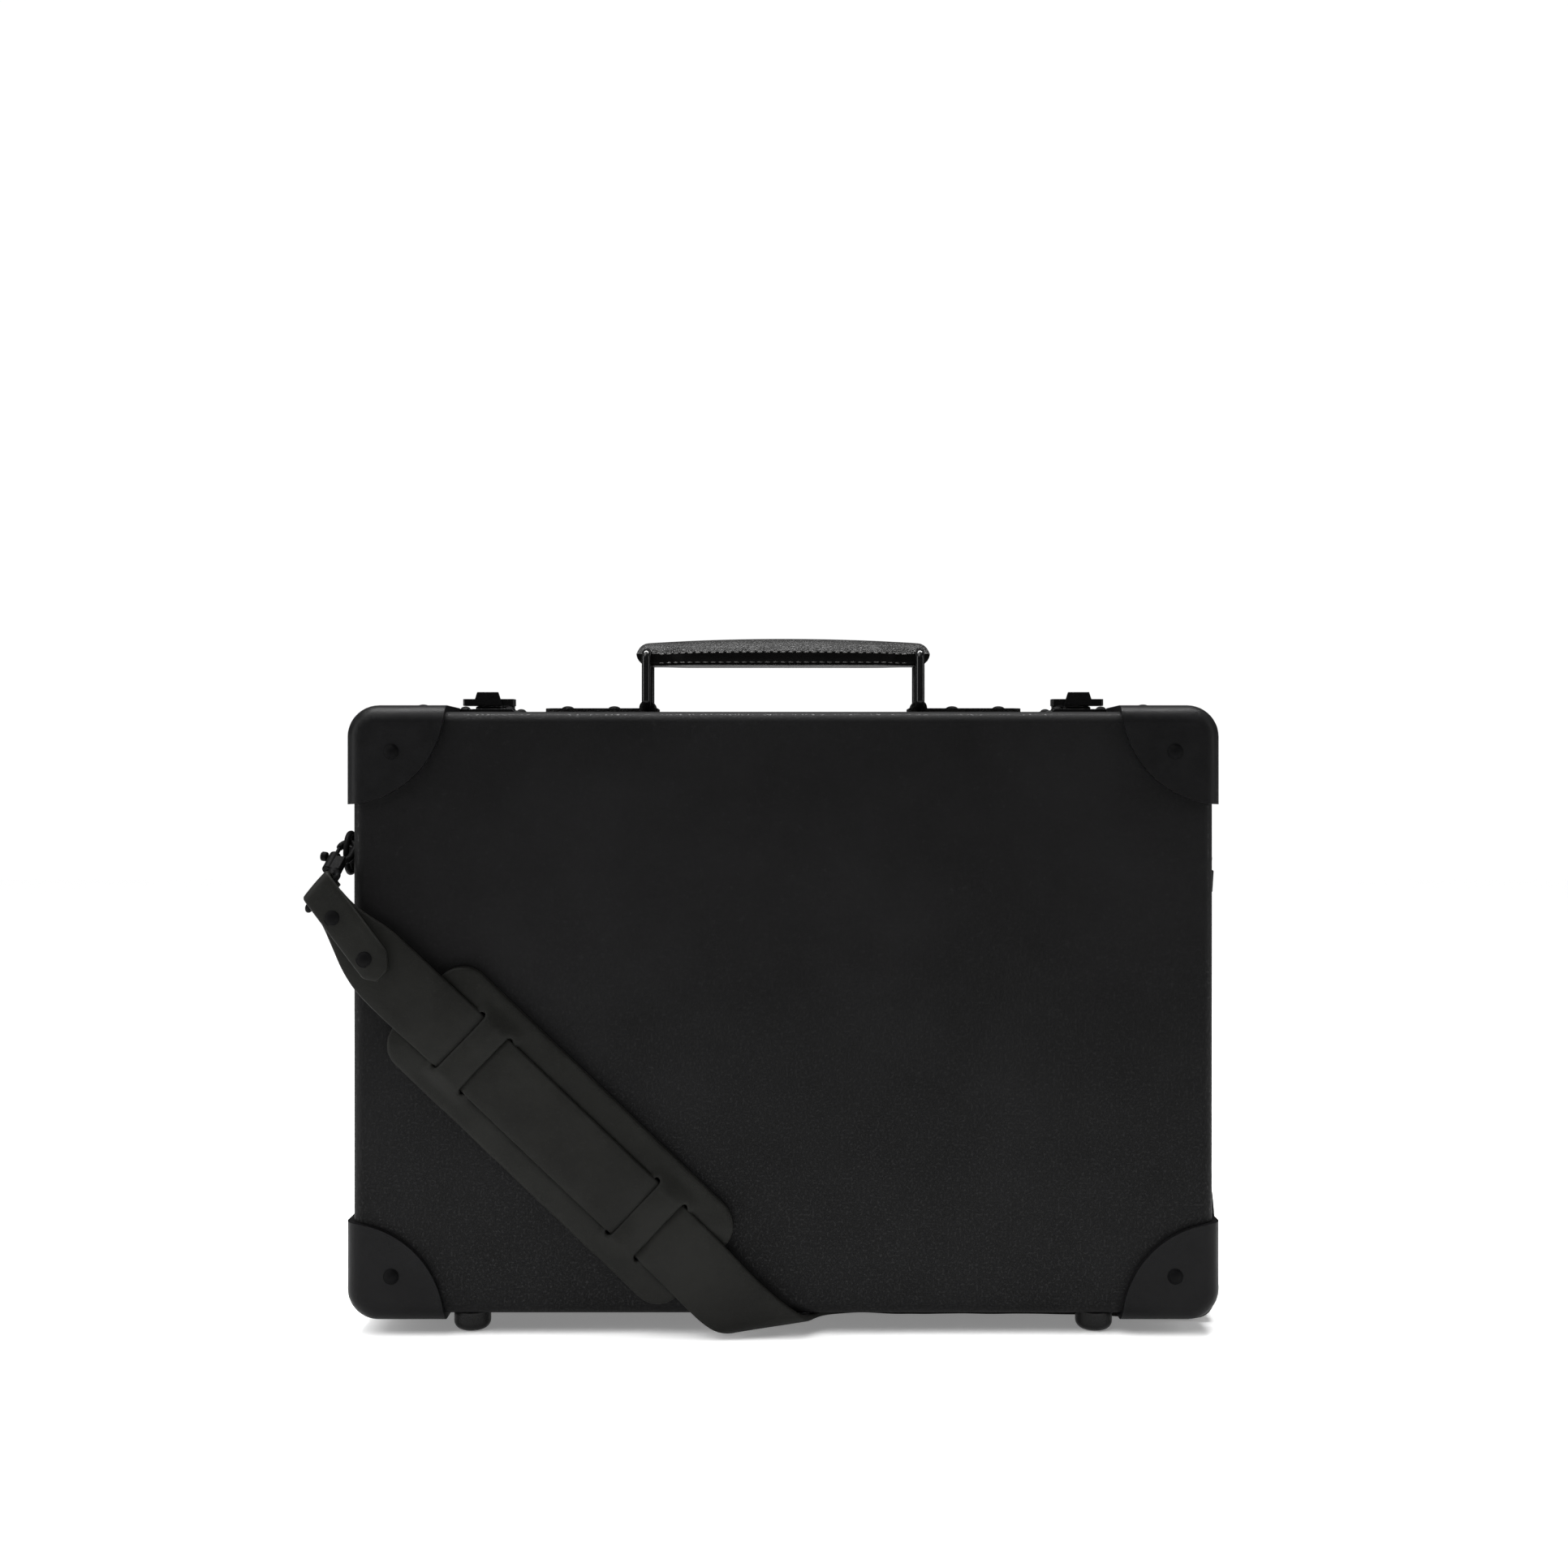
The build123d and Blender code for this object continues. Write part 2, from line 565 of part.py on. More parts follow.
def strap_front():
    """Diagonal stretch down the face of the case, from the left hook to the bottom edge."""
    above_eye = (LEFT_EYE.X - 6.0, LEFT_EYE.Z + 9.2)
    low_z = STRAP_UNDER_Z + STRAP_T / 2 + EDGE_BEND
    reach = (STRAP_LINE.Z - low_z) / -DOWN_STRAP.Z
    centres = [above_eye, (-197.5, 187.5), (-182.0, 168.2)]
    centres += [(STRAP_LINE.X, STRAP_LINE.Z), (STRAP_LINE.X + reach * DOWN_STRAP.X, low_z)]
    centres.append((centres[-1][0] + 30 * DOWN_STRAP.X, low_z + 30 * DOWN_STRAP.Z))
    widths = [STRAP_END_W, 20.0, STRAP_W, STRAP_W, STRAP_W, STRAP_W]
    outline = ribbon(centres, widths, lambda u, v: (u, STRAP_FRONT_Y, v))
    beyond_eye = Plane(origin=LEFT_EYE - OFF_LEFT_BAR * 18.2, z_dir=OFF_LEFT_BAR) * Box(60, 60, 40)
    band = prism(outline, (0, STRAP_T, 0)) - beyond_eye
    return band & block((-250, 60), (-60, -40), (low_z, 230)), centres[4][0]


def strap_under(edge_x):
    """Stretch beneath the base: in from the front edge on a long curve, then along the lane to the right."""
    turn = 43.6 / 180 * pi
    start_y = STRAP_FRONT_Y + STRAP_T / 2 + EDGE_BEND
    start_x = edge_x + EDGE_BEND * pi / 2 * cos(turn) / sin(turn)
    radius = (LANE_Y - start_y) / (1 - cos(turn))
    centres = [(start_x - 30 * cos(turn), start_y - 30 * sin(turn))]
    for step in range(9):
        left = turn * (1 - step / 8)
        centres.append((start_x + radius * (sin(turn) - sin(left)), LANE_Y - radius * (1 - cos(left))))
    centres.append((185.5, LANE_Y))
    outline = ribbon(centres, [STRAP_W] * len(centres), lambda u, v: (u, v, STRAP_UNDER_Z))
    band = prism(outline, (0, 0, STRAP_T))
    return band & block((-60, 190), (start_y, 20), (0, 10))


def strap_edge(edge_x):
    """Bend of the strap under the front bottom edge."""
    axis_y = STRAP_FRONT_Y + STRAP_T / 2 + EDGE_BEND
    axis_z = STRAP_UNDER_Z + STRAP_T / 2 + EDGE_BEND
    half = STRAP_W / 2 / 0.690
    x = (edge_x - half, edge_x + half + 9.0)
    outer = rod((x[0], axis_y, axis_z), (x[1], axis_y, axis_z), EDGE_BEND + STRAP_T / 2)
    inner = rod((x[0], axis_y, axis_z), (x[1], axis_y, axis_z), EDGE_BEND - STRAP_T / 2)
    return (outer - inner) & block(x, (axis_y - 10, axis_y), (axis_z - 10, axis_z))


def strap_corner():
    """Bend of the strap round the bottom right corner."""
    y = (LANE_Y - STRAP_W / 2, LANE_Y + STRAP_W / 2)
    axis_x, axis_z, inside = 185.5, 17.9, 14.9
    outer = rod((axis_x, y[0], axis_z), (axis_x, y[1], axis_z), inside + STRAP_T)
    inner = rod((axis_x, y[0], axis_z), (axis_x, y[1], axis_z), inside)
    return (outer - inner) & block((axis_x, axis_x + 30), y, (axis_z - 30, axis_z))


def strap_side():
    """Stretch up the right end wall to the right hook."""
    low_z, top_z = 17.9, RIGHT_EYE.Z
    over_cap, on_wall, at_eye = 200.4, 198.2, RIGHT_EYE.X + 1.7
    profile = [(over_cap, low_z), (over_cap, 54), (on_wall, 74), (on_wall, 112), (at_eye, 138), (at_eye, top_z)]
    outline = [(x, -40, z) for x, z in profile] + [(x + STRAP_T, -40, z) for x, z in profile[::-1]]
    centres = [(LANE_Y, low_z), (LANE_Y, 40), (4.0, 100), (RIGHT_EYE.Y, 142), (RIGHT_EYE.Y, top_z)]
    plan = ribbon(centres, [STRAP_W, STRAP_W, STRAP_W, STRAP_END_W, STRAP_END_W], lambda u, v: (190, u, v))
    return prism(outline, (0, 80, 0)) & prism(plan, (30, 0, 0))


def shoulder_pad():
    """Padded panel with two pairs of slots. The strap lies over it and goes behind the bridge of each pair."""
    along = DOWN_STRAP
    middle = Vector(-101.3, 0, 92.6)
    turn = -43.6
    frame = Pos(middle.X, PAD_Y[0], middle.Z) * Rot(0, -turn, 0)
    panel = block((-PAD_L / 2, PAD_L / 2), (0, PAD_Y[1] - PAD_Y[0]), (-PAD_W / 2, PAD_W / 2))
    panel = fillet(panel.edges().filter_by(Axis.Y), 13.0)
    for offset in (side * slot for side in SIDES for slot in PAD_SLOTS):
        panel = panel - block((offset - 1.5, offset + 1.5), (-1, 10), (-17.2, 17.2))
    return frame * panel


def strap_rivet_seats():
    """Front ends of the left tongue's rivets, and outer ends of the right strap's."""
    left_y = LEFT_EYE.Y - 1.7 - STRAP_T
    seats = [((x, left_y, z), (0, -1, 0)) for x, z in LEFT_RIVETS]
    right_x = RIGHT_EYE.X + 1.7 + STRAP_T
    return seats + [((right_x, RIGHT_EYE.Y, RIGHT_EYE.Z - drop), (1, 0, 0)) for drop in (13.4, 36.8)]


# ---------------------------------------------------------------- the parts


def build():
    """Every part by name."""
    parts = {}
    base_open, lid_open = SPLIT_Y - SPLIT_GAP, SPLIT_Y + SPLIT_GAP
    cap_front, cap_back = FRONT_Y - CAP_T, BACK_Y + CAP_T
    base_seats = cap_seats(cap_front, BASE_WALL_RIVET_Y, BASE_END_RIVET_Y)
    lid_seats = cap_seats(cap_back, LID_RIVET_Y, LID_RIVET_Y)

    foot_rows = {"base": BASE_FOOT_Y, "lid": LID_FOOT_Y}
    feet = {name: [(side * FOOT_X, y) for side in SIDES] for name, y in foot_rows.items()}
    handle_seats = tab_seats(-1) + tab_seats(1)
    base_holes = holes(base_seats) + holes(handle_seats, SHANK_D, TAB_T + WALL)
    base_holes += holes(latch_plate_seats(), 2.4, LATCH_T + WALL) + holes(hinge_seats(9.0), 2.0, 1.2 + WALL)
    base_holes += holes(saddle_seats(), 2.0, 1.2 + WALL)
    base_holes += [rod((x, y, 0), (x, y, BOARD_BOTTOM + WALL), 1.5) for x, y in feet["base"]]
    lid_holes = holes(lid_seats) + holes(latch_bracket_seats(), 2.4, LATCH_T + WALL)
    lid_holes += holes(hinge_seats(31.0), 2.0, 1.2 + WALL)
    lid_holes += [rod((x, y, 0), (x, y, BOARD_BOTTOM + WALL), 1.5) for x, y in feet["lid"]]

    base_hollow = tray_block(-WALL, base_open + 1, FRONT_Y + WALL)
    lid_hollow = tray_block(-WALL, lid_open - 1, BACK_Y - WALL)
    parts["base_shell"] = cut(tray_block(0, base_open, FRONT_Y) - base_hollow, base_holes)
    parts["lid_shell"] = cut(tray_block(0, lid_open, BACK_Y) - lid_hollow, lid_holes)
    parts["base_lining"] = lining(BASE_RAIL_Y, FRONT_Y)
    parts["lid_lining"] = lining(LID_RAIL_Y, BACK_Y)
    tongues = rails(base_open, SPLIT_Y + TONGUE, WALL + TONGUE_PLAY)
    parts["base_rails"] = group(a + b for a, b in zip(rails(BASE_RAIL_Y, base_open, WALL), tongues))
    parts["lid_rails"] = group(rails(SPLIT_Y + TONGUE + TONGUE_PLAY, LID_RAIL_Y, WALL))
    pocket = block((-165, 165), (38.2, 40.6), (30, 190))
    parts["lid_pocket"] = fillet(pocket.edges().filter_by(Axis.Y), 12.0)

    parts["base_corner_caps"] = corner_caps(base_open, cap_front, base_seats)
    parts["lid_corner_caps"] = corner_caps(lid_open, cap_back, lid_seats)
    parts["base_cap_rivets"] = group(rivet(at, out) for at, out in base_seats)
    parts["lid_cap_rivets"] = group(rivet(at, out) for at, out in lid_seats)
    for name, places in feet.items():
        parts[f"{name}_feet"] = group(foot(x, y) for x, y in places)
        parts[f"{name}_foot_screws"] = group(foot_screw(x, y) for x, y in places)

    for name, side in (("left", -1), ("right", 1)):
        parts[f"handle_tab_{name}"] = handle_tab(side)
        parts[f"handle_ring_{name}"] = ring(side)
    parts["handle_tab_rivets"] = group(rivet(at, out, 6.0, 1.3, SHANK_D, TAB_T + WALL) for at, out in handle_seats)
    parts["handle_grip"], parts["handle_core"] = grip()

    parts["latch_plates"] = group(
        cut(latch_plate(side * LATCH_X), holes(latch_plate_seats(), 2.4, LATCH_T)) for side in SIDES
    )
    parts["latch_brackets"] = group(
        cut(latch_bracket(side * LATCH_X), holes(latch_bracket_seats(), 2.4, LATCH_T)) for side in SIDES
    )
    parts["latch_plate_rivets"] = group(
        rivet(at, out, 5.0, 1.5, 2.4, LATCH_T + WALL) for at, out in latch_plate_seats()
    )
    parts["latch_bracket_rivets"] = group(
        rivet(at, out, 5.0, 1.5, 2.4, LATCH_T + WALL) for at, out in latch_bracket_seats()
    )
    parts["latch_hasp_left"] = hasp(-LATCH_X)
    parts["latch_hasp_right"] = hasp(LATCH_X)
    parts["latch_pins"] = group(
        rod((side * LATCH_X - 9.2, HASP_PIN_Y, HASP_PIN_Z), (side * LATCH_X + 9.2, HASP_PIN_Y, HASP_PIN_Z), HASP_PIN_R)
        for side in SIDES
    )

    for name, of_base, y in (("base", True, 9.0), ("lid", False, 31.0)):
        seats = hinge_seats(y)
        parts[f"hinge_{name}_leaves"] = group(
            cut(hinge_leaf(side * HINGE_X, of_base), holes(seats, 2.0, 1.2)) for side in SIDES
        )
        parts[f"hinge_{name}_rivets"] = group(rivet(at, out, 4.2, 0.8, 2.0, 1.2 + WALL) for at, out in seats)
    parts["hinge_pins"] = group(
        rod((side * HINGE_X - 20, HINGE_Y, HINGE_Z), (side * HINGE_X + 20, HINGE_Y, HINGE_Z), HINGE_PIN_R)
        for side in SIDES
    )

    base_pivot, lid_pivot, elbow = stay_points()
    inner_x = STAY_X - 2.4
    for name, side in (("left", -1), ("right", 1)):
        outer = sorted((side * (STAY_X - STAY_T / 2), side * (STAY_X + STAY_T / 2)))
        inner = sorted((side * (inner_x - STAY_T / 2), side * (inner_x + STAY_T / 2)))
        parts[f"stay_base_arm_{name}"] = stay_arm(*outer, base_pivot, elbow, -side)
        parts[f"stay_lid_arm_{name}"] = stay_arm(*inner, lid_pivot, elbow, 0)
    parts["stay_base_studs"] = group(stay_stud(side, base_pivot, STAY_X - STAY_T / 2) for side in SIDES)
    parts["stay_lid_studs"] = group(stay_stud(side, lid_pivot, inner_x - STAY_T / 2) for side in SIDES)

    parts["strap_saddles"] = group(saddle(side) for side in SIDES)
    parts["saddle_rivets"] = group(rivet(at, out, 4.0, 0.8, 2.0, 1.2 + WALL) for at, out in saddle_seats())
    parts["d_ring_left"] = d_ring(-1, -1)
    parts["d_ring_right"] = d_ring(1, 1)
    right_bar = Vector(0, 1, 0)
    for name, jaw, eye, side, bar, knob_turn in (
        ("left", LEFT_JAW, LEFT_EYE, -1, LEFT_BAR, 0),
        ("right", RIGHT_JAW, RIGHT_EYE, 1, right_bar, 90),
    ):
        frame = hook_frame(jaw, eye, side)
        parts[f"hook_body_{name}"] = hook_body(frame, knob_turn)
        parts[f"hook_bolt_{name}"] = hook_bolt(frame, knob_turn)
        parts[f"hook_eye_{name}"] = hook_eye(frame, eye, bar)

    front, edge_x = strap_front()
    left_thick = Vector(0, STRAP_T, 0)
    left_start = LEFT_EYE - Vector(0, 1.7 + STRAP_T, 0)
    right_start = RIGHT_EYE - Vector(1.7 + STRAP_T, 0, 0)
    left_fold = fold(LEFT_EYE, LEFT_BAR, OFF_LEFT_BAR, STRAP_END_W)
    right_fold = fold(RIGHT_EYE, right_bar, Vector(0, 0, -1), STRAP_END_W)
    strap_holes = [
        rod(Vector(*at) + Vector(*out), Vector(*at) - Vector(*out) * 12, 1.6) for at, out in strap_rivet_seats()
    ]
    left_tongue = left_fold + tongue(left_start, DOWN_TONGUE, LEFT_BAR, left_thick, TONGUE_L)
    right_tongue = right_fold + tongue(right_start, Vector(0, 0, -1), right_bar, Vector(STRAP_T, 0, 0), TONGUE_L)
    parts["strap_tongue_left"] = cut(left_tongue, strap_holes)
    parts["strap_tongue_right"] = cut(right_tongue, strap_holes)
    parts["strap_front"] = cut(front, strap_holes)
    parts["strap_edge"] = strap_edge(edge_x)
    parts["strap_under"] = strap_under(edge_x)
    parts["strap_corner"] = strap_corner()
    parts["strap_side"] = cut(strap_side(), strap_holes)
    parts["strap_rivets"] = group(
        rivet(at, out, 7.2, 1.6, 3.2, 2 * STRAP_T + 3.4) for at, out in strap_rivet_seats()
    )
    parts["shoulder_pad"] = shoulder_pad()
    return parts


os.makedirs("parts", exist_ok=True)
for node, shape in build().items():
    export_step(shape, f"parts/{node}.step")
    print(f"{node}: {len(shape.solids())} solids, {shape.volume / 1000:.2f} cm3")
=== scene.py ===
import json
from math import cos, pi, radians, sin, sqrt

import bmesh
import bpy
from bpy.props import FloatProperty, FloatVectorProperty, IntProperty, PointerProperty
from mathutils import Matrix, Vector, noise

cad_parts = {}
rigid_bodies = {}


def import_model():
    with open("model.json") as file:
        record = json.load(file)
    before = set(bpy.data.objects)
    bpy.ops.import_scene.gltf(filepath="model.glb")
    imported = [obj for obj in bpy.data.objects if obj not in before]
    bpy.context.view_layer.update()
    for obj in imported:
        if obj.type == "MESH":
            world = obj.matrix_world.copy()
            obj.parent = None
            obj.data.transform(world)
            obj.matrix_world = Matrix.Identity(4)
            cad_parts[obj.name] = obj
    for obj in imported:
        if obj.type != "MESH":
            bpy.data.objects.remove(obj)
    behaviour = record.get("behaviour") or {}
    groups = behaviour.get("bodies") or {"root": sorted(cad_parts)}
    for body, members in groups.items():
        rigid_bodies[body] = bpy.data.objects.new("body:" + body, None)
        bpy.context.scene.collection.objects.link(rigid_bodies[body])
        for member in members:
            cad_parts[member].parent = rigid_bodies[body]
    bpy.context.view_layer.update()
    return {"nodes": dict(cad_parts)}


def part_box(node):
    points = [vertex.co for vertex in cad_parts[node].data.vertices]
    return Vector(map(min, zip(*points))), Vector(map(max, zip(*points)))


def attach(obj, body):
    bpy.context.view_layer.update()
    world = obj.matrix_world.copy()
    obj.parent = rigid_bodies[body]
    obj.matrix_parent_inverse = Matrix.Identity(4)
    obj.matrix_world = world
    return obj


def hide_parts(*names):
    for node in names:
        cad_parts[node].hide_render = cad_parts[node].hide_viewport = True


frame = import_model()

bl_info = {
    "name": "Fibreboard attache case",
    "version": (1, 0, 0),
    "blender": (4, 5, 0),
    "location": "View3D > Sidebar > Attache case",
    "description": "Builds the boards, leather, hardware and strap of an attache case on its packed frame",
    "category": "Object",
}

MM = 0.001
X, Y, Z = Vector((1, 0, 0)), Vector((0, 1, 0)), Vector((0, 0, 1))


# ------------------------------------------------------------------ settings


class BoardSettings(bpy.types.PropertyGroup):
    """The fibreboard of both trays."""

    colour: FloatVectorProperty(
        name="Board colour",
        description="Dye of the board",
        default=(0.0042, 0.0042, 0.0043), subtype="COLOR",
    )
    mottle: FloatVectorProperty(
        name="Mottle colour",
        description="Paler patches in the dye",
        default=(0.0062, 0.0062, 0.0064), subtype="COLOR",
    )
    pebble: FloatProperty(
        name="Pebble size", description="Size of the board's surface pebble", default=0.0011, unit="LENGTH"
    )
    relief: FloatProperty(
        name="Pebble relief", description="Height of the pebble", default=0.00013, unit="LENGTH"
    )


class LeatherSettings(bpy.types.PropertyGroup):
    """The leathers of the caps, the handle and the strap."""

    cap_colour: FloatVectorProperty(
        name="Cap colour",
        description="Dye of the corner caps",
        default=(0.0046, 0.0046, 0.0048), subtype="COLOR",
    )
    handle_colour: FloatVectorProperty(
        name="Handle colour",
        description="Dye of the handle",
        default=(0.0050, 0.0049, 0.0048), subtype="COLOR",
    )
    strap_colour: FloatVectorProperty(
        name="Strap colour",
        description="Dye of the strap and its pad",
        default=(0.0080, 0.0081, 0.0073), subtype="COLOR",
    )
    grain: FloatProperty(
        name="Grain size", description="Size of the handle's pressed grain", default=0.0013, unit="LENGTH"
    )
    cap_edge: FloatProperty(
        name="Cap edge", description="Rounding of a cap's cut edge", default=0.0007, unit="LENGTH"
    )


class HardwareSettings(bpy.types.PropertyGroup):
    """The lacquered metal fittings."""

    colour: FloatVectorProperty(
        name="Lacquer colour",
        description="Colour of the lacquer",
        default=(0.0030, 0.0030, 0.0032), subtype="COLOR",
    )
    softened_edge: FloatProperty(
        name="Softened edge", description="Bevel on stamped edges", default=0.00022, unit="LENGTH"
    )
    rivet_sides: IntProperty(
        name="Rivet sides", description="Facets round a rivet head", default=24, min=8, max=64
    )
    rivet_rim: FloatProperty(
        name="Rivet rim",
        description="How far the flat rim stands out round a rivet's dome",
        default=0.00035, unit="LENGTH",
    )


class StitchSettings(bpy.types.PropertyGroup):
    """The waxed thread of the grip and the lid pocket."""

    colour: FloatVectorProperty(
        name="Thread colour",
        description="Colour of the thread",
        default=(0.010, 0.0095, 0.0085), subtype="COLOR",
    )
    pitch: FloatProperty(
        name="Stitch pitch", description="From stitch to stitch", default=0.0036, unit="LENGTH"
    )
    length: FloatProperty(
        name="Stitch length", description="Length of a stitch on show", default=0.0027, unit="LENGTH"
    )
    thread: FloatProperty(
        name="Thread thickness", description="Thickness of the thread", default=0.0007, unit="LENGTH"
    )


class StrapSettings(bpy.types.PropertyGroup):
    """The shoulder strap and its pad."""

    width: FloatProperty(name="Strap width", description="Width of the strap", default=0.032, unit="LENGTH")
    end_width: FloatProperty(
        name="End width", description="Width of its riveted ends", default=0.0165, unit="LENGTH"
    )
    thickness: FloatProperty(
        name="Strap thickness", description="Thickness of the leather", default=0.0026, unit="LENGTH"
    )
    bridge_rise: FloatProperty(
        name="Bridge rise",
        description="How far the pad's bridges bow out over the strap",
        default=0.0042, unit="LENGTH",
    )
    pad_cell: FloatProperty(
        name="Pad cell", description="Cell of the pad's remesh", default=0.0011, unit="LENGTH"
    )


class StageSettings(bpy.types.PropertyGroup):
    """Floor, lights and camera."""

    eye: FloatVectorProperty(
        name="Camera place",
        description="Where the camera stands",
        default=(0.0004, -0.8885, 0.2522), unit="LENGTH",
    )
    lens: FloatProperty(name="Lens", description="Focal length in millimetres", default=42.45)
    floor_size: FloatProperty(
        name="Floor size", description="Half width of the floor", default=4.0, unit="LENGTH"
    )
    backdrop: FloatProperty(name="Backdrop", description="Brightness of the surround on show", default=1.02)
    surround: FloatProperty(
        name="Surround", description="Brightness of the light from all round", default=0.10
    )


# ------------------------------------------------------------------ finishes


class Wire:
    """A socket in a finish that is worked with like a number."""

    def __init__(self, finish, socket):
        self.finish = finish
        self.socket = socket

    def _maths(self, operation, *values):
        """One maths node on these values."""
        return self.finish.add("ShaderNodeMath", {"operation": operation}, dict(enumerate(values)))

    def __add__(self, other):
        return self._maths("ADD", self, other)

    __radd__ = __add__

    def __sub__(self, other):
        return self._maths("SUBTRACT", self, other)

    def __rsub__(self, other):
        return self._maths("SUBTRACT", other, self)

    def __mul__(self, other):
        return self._maths("MULTIPLY", self, other)

    __rmul__ = __mul__

    def __truediv__(self, other):
        return self._maths("DIVIDE", self, other)

    def __rtruediv__(self, other):
        return self._maths("DIVIDE", other, self)

    def __pow__(self, other):
        return self._maths("POWER", self, other)

    def __rpow__(self, other):
        return self._maths("POWER", other, self)


class Finish:
    """A material being made: nodes round one shader."""

    def __init__(self, name, **constants):
        self.material = bpy.data.materials.new(name)
        self.material.use_nodes = True
        self.tree = self.material.node_tree
        self.tree.nodes.clear()
        self.shader = self.tree.nodes.new("ShaderNodeBsdfPrincipled")
        output = self.tree.nodes.new("ShaderNodeOutputMaterial")
        self.tree.links.new(self.shader.outputs[0], output.inputs[0])
        for socket, value in constants.items():
            self.shader.inputs[socket.replace("_", " ").title().replace("Ior", "IOR")].default_value = value
        self.place = self.add("ShaderNodeTexCoord", {}, {}, "Object")

    def join(self, value, socket):
        """Links a wire to a socket, or sets the value there."""
        if isinstance(value, Wire):
            self.tree.links.new(value.socket, socket)
        else:
            socket.default_value = value

    def add(self, kind, settings, sockets, output=0):
        """Any node: its settings first, then the values or links of its sockets."""
        node = self.tree.nodes.new(kind)
        for key, value in settings.items():
            if key == "stops":
                ramp = node.color_ramp.elements
                while len(ramp) < len(value):
                    ramp.new(0.5)
                for element, (place, level) in zip(ramp, value):
                    element.position = place
                    element.color = (level, level, level, 1)
            else:
                setattr(node, key, value)
        for key, value in sockets.items():
            self.join(value, node.inputs[key])
        return Wire(self, node.outputs[output])

    def stretch(self, sizes, turn=(0, 0, 0)):
        """The object's own coordinates, scaled along each axis."""
        return self.add("ShaderNodeMapping", {}, {"Vector": self.place, "Scale": sizes, "Rotation": turn})

    def cloud(self, size, detail=3.0, roughness=0.55, where=None, distortion=0.0):
        """Noise whose lumps are about size metres across, from 0 to 1."""
        sockets = {
            "Vector": where or self.place,
            "Scale": 1.0 / size,
            "Detail": detail,
            "Roughness": roughness,
            "Distortion": distortion,
        }
        return self.add("ShaderNodeTexNoise", {}, sockets, "Fac")

    def cells(self, size, feature="DISTANCE_TO_EDGE", where=None):
        """Cell pattern with cells about size metres across."""
        sockets = {"Vector": where or self.place, "Scale": 1.0 / size}
        return self.add("ShaderNodeTexVoronoi", {"feature": feature}, sockets, "Distance")

    def ramp(self, value, low, high, start=0.0, end=1.0):
        """A value taken from start to end as it goes from low to high."""
        sockets = {"Value": value, "From Min": low, "From Max": high, "To Min": start, "To Max": end}
        return self.add("ShaderNodeMapRange", {"clamp": True}, sockets)

    def blend(self, factor, first, second):
        """Colour mixed from first to second."""
        pair = [c if isinstance(c, Wire) else (*c, 1.0) for c in (first, second)]
        return self.add("ShaderNodeMix", {"data_type": "RGBA"}, {0: factor, 6: pair[0], 7: pair[1]}, 2)

    def relief(self, height, distance, strength=1.0, under=None):
        """Bump of a height, on top of another one if given."""
        sockets = {"Height": height, "Distance": distance, "Strength": strength}
        if under is not None:
            sockets["Normal"] = under
        return self.add("ShaderNodeBump", {}, sockets)

    def scatter(self, size):
        """Coloured noise used to bend a pattern."""
        sockets = {"Vector": self.place, "Scale": 1.0 / size, "Detail": 1.0}
        return self.add("ShaderNodeTexNoise", {}, sockets, "Color")

    def weave(self, pitch):
        """Over-and-under threads along all three axes, from 0 to 1."""
        parts = self.add("ShaderNodeSeparateXYZ", {}, {0: self.place})
        waves = []
        for axis in range(3):
            along = Wire(self, parts.socket.node.outputs[axis]) * (pi / pitch)
            waves.append(self.add("ShaderNodeMath", {"operation": "SINE"}, {0: along}))
        mixed = waves[0] * waves[2] + waves[1] * waves[2] + waves[0] * waves[1]
        return self.ramp(mixed, -0.8, 0.8)

    def feed(self, **sockets):
        """Feeds the shader and hands over the material."""
        for key, value in sockets.items():
            self.join(value, self.shader.inputs[key.replace("_", " ").title()])
        return self.material


def tint(colour, share):
    """A colour made lighter or darker by a share."""
    return tuple(max(0.0, c * share) for c in colour)


def fibreboard(settings):
    """Hard pressed board: dyed through, matt, mottled, with a fine pebble that sparkles at the edges."""
    f = Finish("fibreboard", specular_ior_level=0.05, coat_roughness=0.22)
    patches = f.cloud(0.060, 4.0, 0.6)
    flecks = f.cloud(0.0030, 2.0, 0.7)
    colour = f.blend(f.ramp(patches, 0.35, 0.68), settings.colour, settings.mottle)
    colour = f.blend(f.ramp(flecks, 0.62, 0.80, 0.0, 0.35), colour, tint(settings.mottle, 1.9))
    pebble = f.cloud(settings.pebble, 2.5, 0.6)
    fibres = f.cloud(0.0045, 3.0, 0.65, f.stretch((1.0, 1.0, 0.35)))
    rough = f.ramp(pebble * 0.6 + patches * 0.4, 0.3, 0.7, 0.50, 0.64)
    normal = f.relief(pebble, settings.relief, 0.9)
    normal = f.relief(fibres, 0.00012, 0.5, normal)
    normal = f.relief(f.cloud(0.045, 2.0), 0.0010, 0.35, normal)
    glint = f.ramp(pebble, 0.52, 0.70, 0.0, 0.16)
    return f.feed(base_color=colour, roughness=rough, coat_weight=glint, normal=normal)


